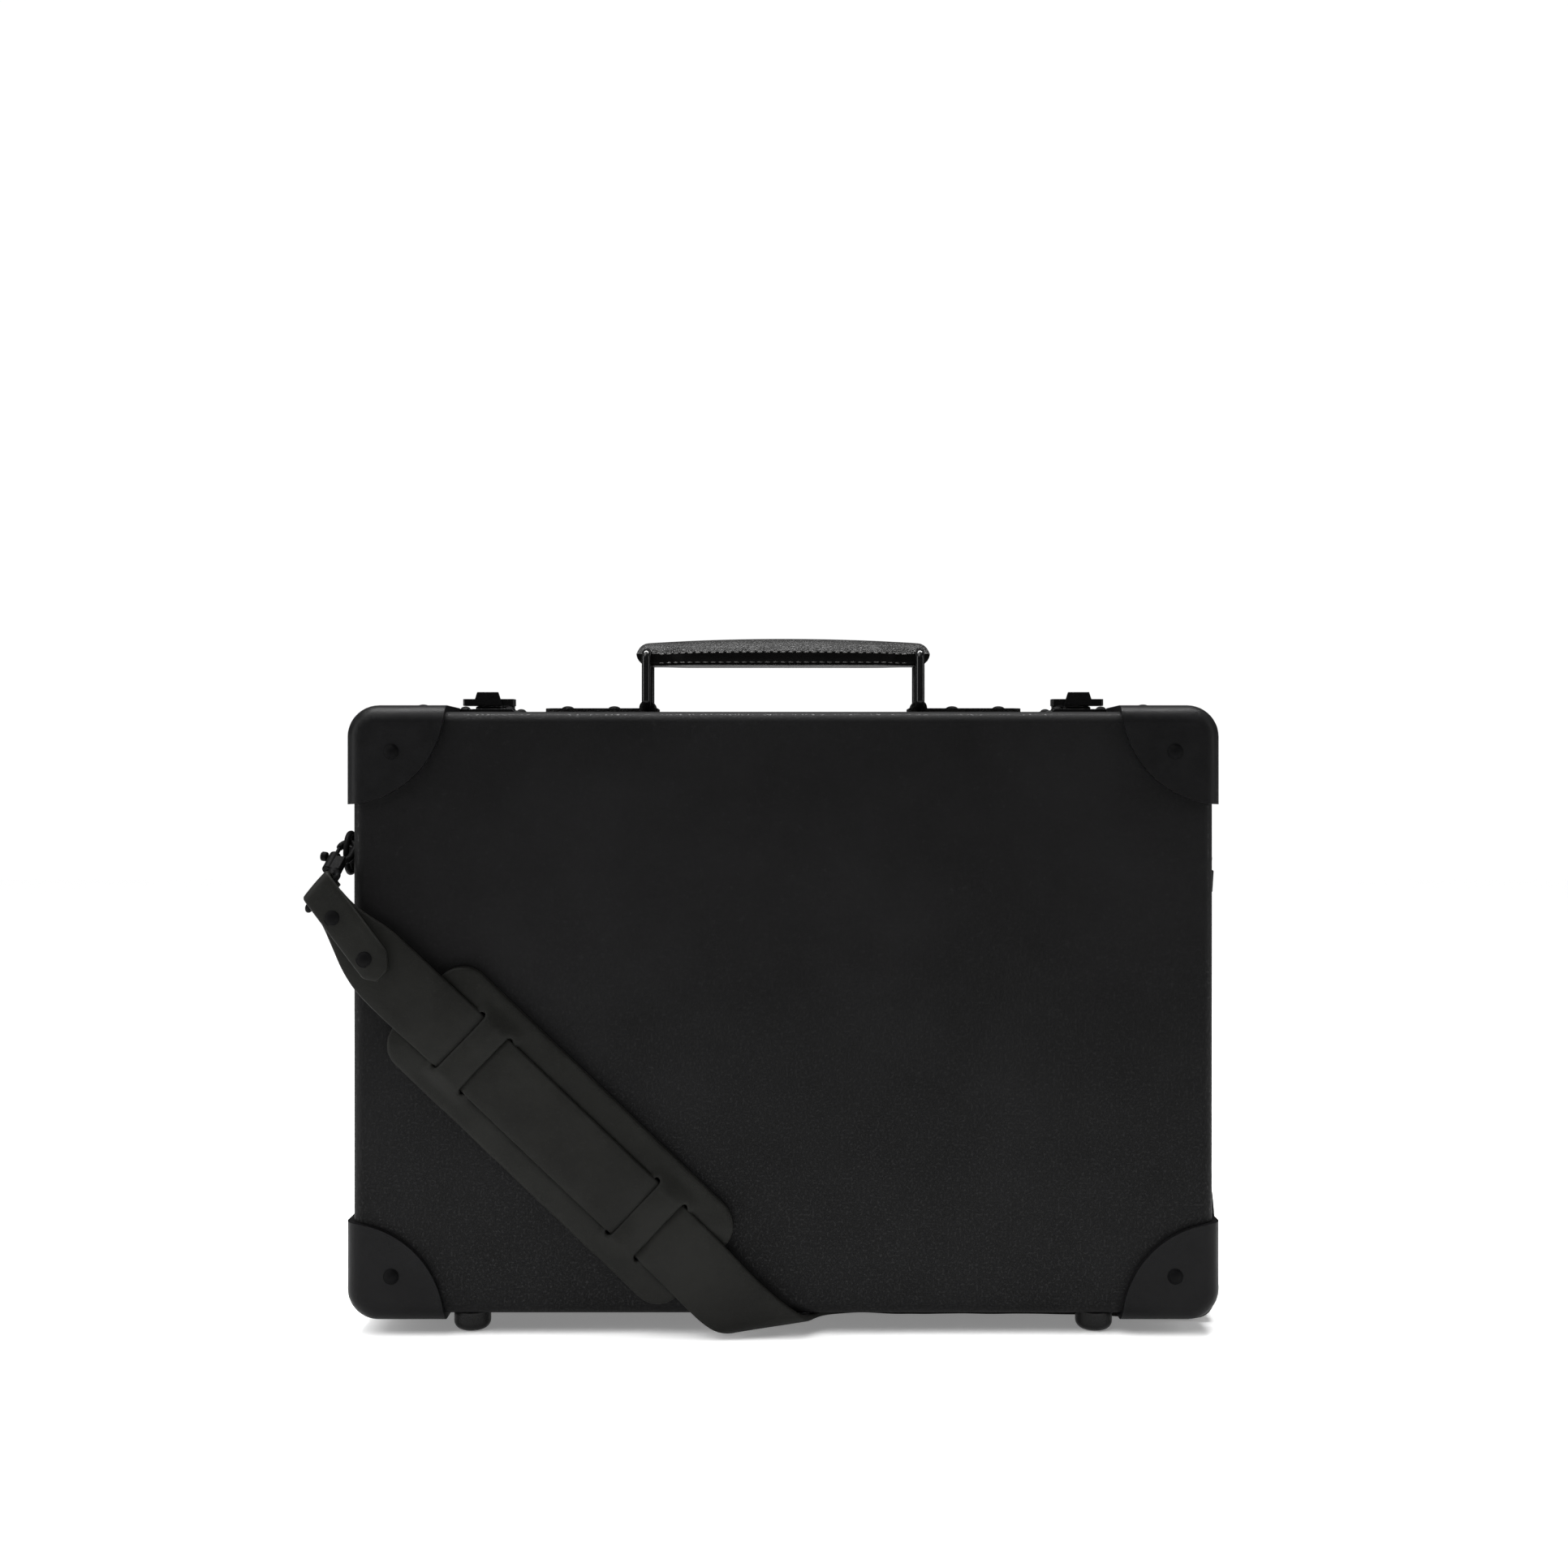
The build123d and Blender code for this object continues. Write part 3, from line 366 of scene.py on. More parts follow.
def cap_leather(settings):
    """Smooth calf over the corners: close pores, soft creases and a waxed shine."""
    f = Finish("cap_leather", specular_ior_level=0.055)
    patches = f.cloud(0.022, 4.0, 0.6)
    dark, pale = tint(settings.cap_colour, 0.85), tint(settings.cap_colour, 1.35)
    colour = f.blend(f.ramp(patches, 0.35, 0.7), dark, pale)
    pores = f.cells(0.00085)
    creases = f.cloud(0.012, 4.0, 0.6, f.stretch((1.0, 2.2, 1.0)))
    rough = f.ramp(patches, 0.3, 0.7, 0.34, 0.46)
    normal = f.relief(f.ramp(pores, 0.0, 0.25), 0.00004, 0.55)
    normal = f.relief(creases, 0.0005, 0.35, normal)
    normal = f.relief(f.cloud(0.035, 1.0), 0.0016, 0.35, normal)
    return f.feed(base_color=colour, roughness=rough, normal=normal)


def grained_leather(settings):
    """Handle leather with a pressed pebble grain."""
    f = Finish("grained_leather", specular_ior_level=0.11)
    where = f.cloud(0.004, 2.0)
    shift = {0: f.scatter(0.003), 1: (0.0009,) * 3, 2: f.place}
    bent = f.add("ShaderNodeVectorMath", {"operation": "MULTIPLY_ADD"}, shift)
    grain = f.ramp(f.cells(settings.grain, where=bent), 0.02, 0.32)
    colour = f.blend(grain, tint(settings.handle_colour, 0.6), tint(settings.handle_colour, 1.25))
    rough = f.ramp(grain * 0.7 + where * 0.3, 0.0, 1.0, 0.52, 0.36)
    normal = f.relief(grain, 0.00018, 0.9)
    normal = f.relief(f.cloud(0.010, 3.0), 0.0006, 0.35, normal)
    return f.feed(base_color=colour, roughness=rough, normal=normal)


def shaded_handle_band_leather(settings):
    """Smooth leather on the sides of the handle, lightly creased, coloured with a darker copy of the handle's
    dye as painted shade.
    """
    f = Finish("shaded_handle_band_leather", specular_ior_level=0.03)
    patches = f.cloud(0.009, 3.0, 0.6, f.stretch((0.3, 1.0, 1.0)))
    # painted shade: the band takes 0.25 to 0.6 of the handle colour, while the grained crown above takes 0.6
    # to 1.25
    colour = f.blend(patches, tint(settings.handle_colour, 0.25), tint(settings.handle_colour, 0.6))
    normal = f.relief(f.ramp(f.cells(0.0007), 0.0, 0.25), 0.00003, 0.5)
    normal = f.relief(patches, 0.0002, 0.4, normal)
    return f.feed(base_color=colour, roughness=f.ramp(patches, 0.3, 0.7, 0.30, 0.42), normal=normal)


def strap_leather(settings):
    """Bridle leather: matt, slightly olive, with long faint wrinkles and rubbed edges."""
    f = Finish("strap_leather", specular_ior_level=0.055)
    patches = f.cloud(0.030, 4.0, 0.6)
    fine = f.cloud(0.0016, 3.0, 0.65)
    dark, pale = tint(settings.strap_colour, 0.80), tint(settings.strap_colour, 1.30)
    colour = f.blend(f.ramp(patches, 0.3, 0.7), dark, pale)
    colour = f.blend(f.ramp(fine, 0.58, 0.80, 0.0, 0.5), colour, tint(settings.strap_colour, 1.9))
    wrinkles = f.cloud(0.0075, 4.0, 0.6, f.stretch((1.0, 1.0, 1.0), (0, radians(43.6), 0)))
    pores = f.ramp(f.cells(0.00095), 0.0, 0.3)
    rough = f.ramp(patches * 0.5 + fine * 0.5, 0.3, 0.7, 0.44, 0.60)
    normal = f.relief(pores, 0.00004, 0.5)
    normal = f.relief(wrinkles, 0.0003, 0.4, normal)
    return f.feed(base_color=colour, roughness=rough, normal=normal)


def black_lacquer(settings):
    """Baked gloss lacquer on metal, with a slight orange peel."""
    f = Finish("black_lacquer", specular_ior_level=0.20, coat_weight=0.06, coat_roughness=0.10)
    peel = f.cloud(0.0022, 2.0)
    rubs = f.cloud(0.0009, 4.0, 0.7, f.stretch((1.0, 0.2, 1.0)))
    colour = f.blend(f.ramp(rubs, 0.62, 0.78, 0.0, 0.6), settings.colour, tint(settings.colour, 3.0))
    rough = f.ramp(rubs, 0.35, 0.75, 0.14, 0.30)
    return f.feed(base_color=colour, roughness=rough, normal=f.relief(peel, 0.00003, 0.35))


def black_oxide(settings):
    """Chemically blackened metal: deep and only softly shiny."""
    f = Finish("black_oxide", specular_ior_level=0.03)
    rubs = f.cloud(0.0008, 4.0, 0.7)
    dark, pale = tint(settings.colour, 0.8), tint(settings.colour, 3.0)
    colour = f.blend(f.ramp(rubs, 0.60, 0.78, 0.0, 0.6), dark, pale)
    rough = f.ramp(rubs, 0.35, 0.75, 0.50, 0.62)
    return f.feed(base_color=colour, roughness=rough, normal=f.relief(rubs, 0.00003, 0.4))


def satin_steel():
    """Drawn steel wire and strip with fine lengthwise lines."""
    f = Finish("satin_steel", metallic=1.0)
    lines = f.cloud(0.0012, 4.0, 0.7, f.stretch((1.0, 1.0, 0.04)))
    colour = f.blend(lines, (0.30, 0.30, 0.31), (0.46, 0.46, 0.47))
    rough = f.ramp(lines, 0.3, 0.7, 0.24, 0.42)
    return f.feed(base_color=colour, roughness=rough, normal=f.relief(lines, 0.00002, 0.4))


def foot_rubber():
    """Moulded rubber, dull with a faint bloom."""
    f = Finish("foot_rubber", specular_ior_level=0.15)
    bloom = f.cloud(0.004, 4.0, 0.65)
    colour = f.blend(bloom, (0.002, 0.002, 0.002), (0.006, 0.006, 0.0058))
    normal = f.relief(f.cloud(0.0007, 2.0), 0.00003, 0.4)
    return f.feed(base_color=colour, roughness=f.ramp(bloom, 0.3, 0.7, 0.22, 0.36), normal=normal)


def lining_cloth():
    """Dark plain-weave cloth glued inside the trays."""
    f = Finish("lining_cloth", sheen_weight=0.25, sheen_roughness=0.6)
    weave = f.weave(0.00085)
    slub = f.cloud(0.006, 3.0, 0.6, f.stretch((0.2, 1.0, 3.0)))
    colour = f.blend(weave, (0.010, 0.009, 0.009), (0.055, 0.048, 0.045))
    colour = f.blend(f.ramp(slub, 0.55, 0.75, 0.0, 0.4), colour, (0.075, 0.066, 0.060))
    return f.feed(base_color=colour, roughness=0.85, normal=f.relief(weave, 0.00015, 0.6))


def rail_wood():
    """Plain close-grained wood, stained dark and oiled."""
    f = Finish("rail_wood", specular_ior_level=0.45)
    grain = f.cloud(0.0035, 5.0, 0.7, f.stretch((0.08, 1.0, 1.0)), 0.6)
    colour = f.blend(f.ramp(grain, 0.3, 0.7), (0.055, 0.030, 0.016), (0.150, 0.085, 0.045))
    rough = f.ramp(grain, 0.3, 0.7, 0.34, 0.55)
    return f.feed(base_color=colour, roughness=rough, normal=f.relief(grain, 0.0001, 0.5))


def waxed_thread(settings):
    """Twisted thread with a waxy shine."""
    f = Finish("waxed_thread", specular_ior_level=0.5)
    twist = f.cloud(0.0004, 2.0)
    colour = f.blend(twist, tint(settings.colour, 0.7), tint(settings.colour, 1.9))
    rough = f.ramp(twist, 0.3, 0.7, 0.40, 0.55)
    return f.feed(base_color=colour, roughness=rough, normal=f.relief(twist, 0.0001, 0.6))


def floor_paint():
    """Matt white studio floor."""
    f = Finish("floor_paint", specular_ior_level=0.0, emission_color=(1, 1, 1, 1), emission_strength=0.22)
    shade = f.cloud(0.25, 2.0)
    return f.feed(base_color=f.blend(shade, (0.96, 0.96, 0.96), (0.98, 0.98, 0.98)), roughness=0.85)


_finishes = {}


def finish(name):
    """The finish of that name, made on first use."""
    scene = bpy.context.scene
    makers = {
        "fibreboard": lambda: fibreboard(scene.case_board),
        "cap_leather": lambda: cap_leather(scene.case_leather),
        "grained_leather": lambda: grained_leather(scene.case_leather),
        "shaded_handle_band_leather": lambda: shaded_handle_band_leather(scene.case_leather),
        "strap_leather": lambda: strap_leather(scene.case_leather),
        "black_lacquer": lambda: black_lacquer(scene.case_hardware),
        "black_oxide": lambda: black_oxide(scene.case_hardware),
        "satin_steel": satin_steel,
        "foot_rubber": foot_rubber,
        "lining_cloth": lining_cloth,
        "rail_wood": rail_wood,
        "waxed_thread": lambda: waxed_thread(scene.case_stitch),
        "floor_paint": floor_paint,
    }
    if name not in _finishes:
        _finishes[name] = makers[name]()
    return _finishes[name]


# ------------------------------------------------------------------ making pieces


def piece(name, mesh, material):
    """New object at the origin from a mesh."""
    mesh.materials.clear()
    mesh.materials.append(finish(material))
    obj = bpy.data.objects.new(name, mesh)
    bpy.context.scene.collection.objects.link(obj)
    return obj


def settle(obj, body, replaced=()):
    """Puts a finished piece on its body and hides the CAD parts it stands in for."""
    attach(obj, body)
    if replaced:
        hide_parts(*replaced)
    return obj


def modified(obj):
    """Turns an object's live modifiers into a plain mesh."""
    bpy.context.view_layer.update()
    graph = bpy.context.evaluated_depsgraph_get()
    done = obj.evaluated_get(graph)
    mesh = bpy.data.meshes.new_from_object(done, preserve_all_data_layers=True, depsgraph=graph)
    obj.modifiers.clear()
    obj.data = mesh
    return obj


def merged(nodes):
    """One bmesh from CAD nodes, with doubles merged and flat faces joined."""
    shape = bmesh.new()
    for node in nodes:
        shape.from_mesh(frame["nodes"][node].data)
    bmesh.ops.remove_doubles(shape, verts=shape.verts, dist=2e-6)
    bmesh.ops.dissolve_limit(shape, angle_limit=radians(0.6), verts=shape.verts, edges=shape.edges)
    return shape


def dressed(name, nodes, body, material, edge, segments=2, swell=0.0):
    """Copy of CAD nodes with softened edges and smooth shading, perhaps a little fuller."""
    shape = merged(nodes)
    mesh = bpy.data.meshes.new(name)
    shape.to_mesh(mesh)
    shape.free()
    mesh.shade_smooth()
    obj = piece(name, mesh, material)
    bevel = obj.modifiers.new("softened edge", "BEVEL")
    bevel.width = edge
    bevel.segments = segments
    bevel.limit_method = "ANGLE"
    bevel.angle_limit = radians(38)
    bevel.harden_normals = True
    if swell:
        fuller = obj.modifiers.new("fuller", "DISPLACE")
        fuller.strength = swell
        fuller.mid_level = 0
    even = obj.modifiers.new("even shading", "WEIGHTED_NORMAL")
    even.weight = 80
    even.keep_sharp = True
    return settle(modified(obj), body, nodes)


def skin(name, rings, material, closed=True):
    """Loft through rings of points, with both ends closed on a pole."""
    shape = bmesh.new()
    rows = [[shape.verts.new(point) for point in ring] for ring in rings]
    count = len(rows[0])
    for first, second in zip(rows, rows[1:]):
        for i in range(count):
            j = (i + 1) % count
            shape.faces.new((first[i], first[j], second[j], second[i]))
    if closed:
        for row, turn in ((rows[0], True), (rows[-1], False)):
            pole = shape.verts.new(sum((v.co for v in row), Vector()) / count)
            for i in range(count):
                j = (i + 1) % count
                shape.faces.new((row[j], row[i], pole) if turn else (row[i], row[j], pole))
    bmesh.ops.recalc_face_normals(shape, faces=shape.faces)
    mesh = bpy.data.meshes.new(name)
    shape.to_mesh(mesh)
    shape.free()
    mesh.shade_smooth()
    return piece(name, mesh, material)


def islands(node):
    """The separate solids of a CAD node, as lists of points."""
    shape = merged([node])
    seen, found = set(), []
    for start in shape.verts:
        if start.index in seen:
            continue
        stack, points = [start], []
        seen.add(start.index)
        while stack:
            vert = stack.pop()
            points.append(vert.co.copy())
            for edge in vert.link_edges:
                other = edge.other_vert(vert)
                if other.index not in seen:
                    seen.add(other.index)
                    stack.append(other)
        found.append(points)
    shape.free()
    return found


def rivet_seats(node):
    """Seat, outward direction, head width and head height of each rivet in a CAD node."""
    seats = []
    for points in islands(node):
        low = Vector([min(p[i] for p in points) for i in range(3)])
        high = Vector([max(p[i] for p in points) for i in range(3)])
        middle = (low + high) / 2
        size = high - low
        best = None
        for axis in range(3):
            others = [i for i in range(3) if i != axis]
            if abs(size[others[0]] - size[others[1]]) < 4e-5:
                best = axis
        sideways = [Vector([0 if i == best else p[i] - middle[i] for i in range(3)]) for p in points]
        reach = [(off.length, p[best]) for off, p in zip(sideways, points)]
        widest = max(r for r, _ in reach)
        levels = [level for r, level in reach if r > widest - 2e-5]
        seat_level = sum(levels) / len(levels)
        sign = 1 if seat_level > middle[best] else -1
        seat = middle.copy()
        seat[best] = seat_level
        out = Vector([sign if i == best else 0 for i in range(3)])
        top = high[best] if sign > 0 else low[best]
        seats.append((seat, out, 2 * widest, abs(top - seat_level)))
    return seats


# ------------------------------------------------------------------ geometry node trees


class Plan:
    """A geometry node tree being made."""

    def __init__(self, name, inputs):
        self.tree = bpy.data.node_groups.new(name, "GeometryNodeTree")
        self.tree.interface.new_socket("Geometry", in_out="INPUT", socket_type="NodeSocketGeometry")
        self.ids = {}
        for label, (kind, default) in inputs.items():
            socket = self.tree.interface.new_socket(label, in_out="INPUT", socket_type=kind)
            if default is not None:
                socket.default_value = default
            self.ids[label] = socket.identifier
        self.tree.interface.new_socket("Geometry", in_out="OUTPUT", socket_type="NodeSocketGeometry")
        self.start = self.tree.nodes.new("NodeGroupInput")
        self.end = self.tree.nodes.new("NodeGroupOutput")

    def add(self, kind, settings=None, sockets=None):
        """Any node: its settings first, then the values or links of its sockets."""
        node = self.tree.nodes.new(kind)
        for key, value in (settings or {}).items():
            setattr(node, key, value)
        for key, value in (sockets or {}).items():
            if isinstance(value, bpy.types.NodeSocket):
                self.tree.links.new(value, node.inputs[key])
            else:
                node.inputs[key].default_value = value
        return node

    def given(self, label):
        """A named input of the tree."""
        return self.start.outputs[label]

    def close(self, geometry, material):
        """Makes the instances real, paints them and joins them to the output."""
        real = self.add("GeometryNodeRealizeInstances", {}, {0: geometry})
        painted = self.add("GeometryNodeSetMaterial", {}, {0: real.outputs[0], "Material": material})
        self.tree.links.new(painted.outputs[0], self.end.inputs[0])

    def use_on(self, obj, **values):
        """Runs the tree on an object and leaves a plain mesh."""
        modifier = obj.modifiers.new(self.tree.name, "NODES")
        modifier.node_group = self.tree
        for label, value in values.items():
            modifier[self.ids[label.replace("_", " ").capitalize()]] = value
        return modified(obj)


def rivet_plan(material):
    """Domed heads with a thin rim, set on points along their own outward direction."""
    plan = Plan(
        "rivet heads",
        {
            "Width": ("NodeSocketFloat", 0.006),
            "Height": ("NodeSocketFloat", 0.0015),
            "Rim": ("NodeSocketFloat", 0.0003),
            "Sides": ("NodeSocketInt", 24),
        },
    )
    half = plan.add("ShaderNodeMath", {"operation": "MULTIPLY"}, {0: plan.given("Width"), 1: 0.5}).outputs[0]
    ball = plan.add(
        "GeometryNodeMeshUVSphere", {}, {"Segments": plan.given("Sides"), "Rings": 12, "Radius": half}
    )
    shares = {0: plan.given("Height"), 1: half}
    squeeze = plan.add("ShaderNodeMath", {"operation": "DIVIDE"}, shares).outputs[0]
    scale = plan.add("ShaderNodeCombineXYZ", {}, {"X": 0.97, "Y": 0.97, "Z": squeeze}).outputs[0]
    dome = plan.add("GeometryNodeTransform", {}, {"Geometry": ball.outputs[0], "Scale": scale})
    wide = plan.add("ShaderNodeMath", {"operation": "ADD"}, {0: half, 1: plan.given("Rim")}).outputs[0]
    rim = plan.add(
        "GeometryNodeMeshCylinder",
        {},
        {"Vertices": plan.given("Sides"), "Radius": wide, "Depth": 0.0005},
    )
    both = plan.add("GeometryNodeJoinGeometry")
    plan.tree.links.new(dome.outputs[0], both.inputs[0])
    plan.tree.links.new(rim.outputs["Mesh"], both.inputs[0])
    smooth = plan.add("GeometryNodeSetShadeSmooth", {}, {"Geometry": both.outputs[0], "Shade Smooth": True})
    out = plan.add("GeometryNodeInputNamedAttribute", {"data_type": "FLOAT_VECTOR"}, {"Name": "out"})
    turn = plan.add("FunctionNodeAlignRotationToVector", {"axis": "Z"}, {"Vector": out.outputs[0]})
    placed = plan.add(
        "GeometryNodeInstanceOnPoints",
        {},
        {"Points": plan.given("Geometry"), "Instance": smooth.outputs[0], "Rotation": turn.outputs[0]},
    )
    plan.close(placed.outputs[0], material)
    return plan


def stitch_plan(material):
    """Short round-ended stitches, evenly spaced along the edges of a mesh."""
    plan = Plan(
        "stitches",
        {
            "Pitch": ("NodeSocketFloat", 0.0036),
            "Length": ("NodeSocketFloat", 0.0027),
            "Thread": ("NodeSocketFloat", 0.0007),
        },
    )
    line = plan.add("GeometryNodeMeshToCurve", {}, {"Mesh": plan.given("Geometry")})
    spacing = {"Curve": line.outputs[0], "Length": plan.given("Pitch")}
    spaced = plan.add("GeometryNodeResampleCurve", {"mode": "LENGTH"}, spacing)
    tangent = plan.add("GeometryNodeInputTangent")
    turn = plan.add("FunctionNodeAlignRotationToVector", {"axis": "X"}, {"Vector": tangent.outputs[0]})
    bead = plan.add("GeometryNodeMeshUVSphere", {}, {"Segments": 8, "Rings": 6, "Radius": 0.5})
    size = plan.add(
        "ShaderNodeCombineXYZ",
        {},
        {"X": plan.given("Length"), "Y": plan.given("Thread"), "Z": plan.given("Thread")},
    ).outputs[0]
    shaped = plan.add("GeometryNodeTransform", {}, {"Geometry": bead.outputs[0], "Scale": size})
    smooth = plan.add("GeometryNodeSetShadeSmooth", {}, {"Geometry": shaped.outputs[0], "Shade Smooth": True})
    placed = plan.add(
        "GeometryNodeInstanceOnPoints",
        {},
        {"Points": spaced.outputs[0], "Instance": smooth.outputs[0], "Rotation": turn.outputs[0]},
    )
    plan.close(placed.outputs[0], material)
    return plan


def rivets(name, node, body, plan):
    """Rivet heads of one CAD node, as one piece."""
    hardware = bpy.context.scene.case_hardware
    seats = rivet_seats(node)
    mesh = bpy.data.meshes.new(name)
    mesh.from_pydata([seat for seat, _, _, _ in seats], [], [])
    outward = mesh.attributes.new("out", "FLOAT_VECTOR", "POINT")
    outward.data.foreach_set("vector", [c for _, out, _, _ in seats for c in out])
    obj = piece(name, mesh, "black_lacquer")
    width, height = seats[0][2:4]
    plan.use_on(obj, width=width, height=height, rim=hardware.rivet_rim, sides=hardware.rivet_sides)
    return settle(obj, body, [node])


def stitches(name, lines, body, plan):
    """Rows of stitches along lines of points."""
    thread = bpy.context.scene.case_stitch
    points, edges = [], []
    for line in lines:
        start = len(points)
        points += line
        edges += [(start + i, start + i + 1) for i in range(len(line) - 1)]
    mesh = bpy.data.meshes.new(name)
    mesh.from_pydata(points, edges, [])
    obj = piece(name, mesh, "waxed_thread")
    plan.use_on(obj, pitch=thread.pitch, length=thread.length, thread=thread.thread)
    return settle(obj, body)


# ------------------------------------------------------------------ bands of leather


def spline(points):
    """Smooth open line with these control points, read back as points."""
    data = bpy.data.curves.new("route", "CURVE")
    data.dimensions = "3D"
    data.resolution_u = 10
    line = data.splines.new("NURBS")
    line.points.add(len(points) - 1)
    for slot, point in zip(line.points, points):
        slot.co = (*point, 1)
    line.order_u = 3
    line.use_endpoint_u = True
    obj = bpy.data.objects.new("route", data)
    mesh = bpy.data.meshes.new_from_object(obj)
    read = [v.co.copy() for v in mesh.vertices]
    bpy.data.objects.remove(obj)
    bpy.data.curves.remove(data)
    bpy.data.meshes.remove(mesh)
    return read


def band_section(half_width, thickness, crown=0.0003):
    """Outline across a band: offsets across it and out from it, with rubbed round edges."""
    half, edge = thickness / 2, min(thickness * 0.38, half_width * 0.3)
    points = []
    for side, level in ((1, 1), (-1, -1)):
        for i in range(9):
            across = side * (half_width - edge) * (1 - i / 4)
            bow = crown * level * (1 - (across / half_width) ** 2)
            points.append((across, level * half + bow))
        for turn in (30, 60, 90, 120, 150):
            a = radians(turn)
            points.append((-side * (half_width - edge + edge * sin(a)), level * (half - edge + edge * cos(a))
                           if turn <= 90 else -level * (half - edge - edge * cos(a))))
    return points


def band(name, left, right, thickness, material, wave=0.0):
    """A band of leather between two edge lines of control points. Returns the piece and its middle line."""
    lefts, rights = spline(left), spline(right)
    rings, middle = [], []
    last = len(lefts) - 1
    for i, (a, b) in enumerate(zip(lefts, rights)):
        centre = (a + b) / 2
        before, after = max(i - 1, 0), min(i + 1, last)
        ahead = ((lefts[after] + rights[after]) - (lefts[before] + rights[before])).normalized()
        across = b - a
        out = ahead.cross(across).normalized()
        half = across.length / 2
        across.normalize()
        ripple = wave * noise.noise(centre * 55.0)
        ring = [centre + across * u + out * (v + ripple) for u, v in band_section(half, thickness)]
        rings.append(ring)
        middle.append(centre)
    return skin(name, rings, material), middle


# ------------------------------------------------------------------ operators


class CASE_OT_boards(bpy.types.Operator):
    """Dress both board trays, their linings and their rails"""

    bl_idname = "case.boards"
    bl_label = "Boards, linings and rails"

    def execute(self, context):
        for body in ("base", "lid"):
            dressed(f"{body}_board", [f"{body}_shell"], body, "fibreboard", 0.0006)
            dressed(f"{body}_lining_cloth", [f"{body}_lining"], body, "lining_cloth", 0.0003)
            dressed(f"{body}_wood_rails", [f"{body}_rails"], body, "rail_wood", 0.0006)
        return {"FINISHED"}


class CASE_OT_caps(bpy.types.Operator):
    """Dress the leather corner caps and set their rivets"""

    bl_idname = "case.caps"
    bl_label = "Corner caps and rivets"

    def execute(self, context):
        edge = context.scene.case_leather.cap_edge
        plan = rivet_plan(finish("black_oxide"))
        for body in ("base", "lid"):
            dressed(
                f"{body}_leather_caps", [f"{body}_corner_caps"],
                body, "cap_leather", edge, 3,
            )
            rivets(f"{body}_cap_rivet_heads", f"{body}_cap_rivets", body, plan)
        return {"FINISHED"}


class CASE_OT_feet(bpy.types.Operator):
    """Dress the four feet and their screws"""

    bl_idname = "case.feet"
    bl_label = "Feet"

    def execute(self, context):
        for body in ("base", "lid"):
            dressed(f"{body}_rubber_feet", [f"{body}_feet"], body, "foot_rubber", 0.0003)
            dressed(
                f"{body}_sunk_screws", [f"{body}_foot_screws"],
                body, "black_lacquer", 0.0002,
            )
        return {"FINISHED"}


BAR_X = 0.0634
# Half of the grip's outline, from the underside up over the crown: shares of its half width and height.
GRIP_SECTION = [
    (0.0, 0.0),
    (0.45, 0.0),
    (0.82, 0.005),
    (0.93, 0.03),
    (0.985, 0.08),
    (1.0, 0.14),
    (1.0, 0.28),
    (1.0, 0.42),
    (1.0, 0.485),
    (0.975, 0.50),
    (0.962, 0.515),
    (0.93, 0.56),
    (0.86, 0.65),
    (0.74, 0.76),
    (0.58, 0.86),
    (0.38, 0.94),
    (0.18, 0.985),
    (0.0, 1.0),
]


def grip_half_width(x, narrow, wide):
    """Half width of the grip at a place along it."""
    t = min(max((0.0575 - abs(x)) / 0.014, 0.0), 1.0)
    return narrow + (wide - narrow) * t * t * (3 - 2 * t)


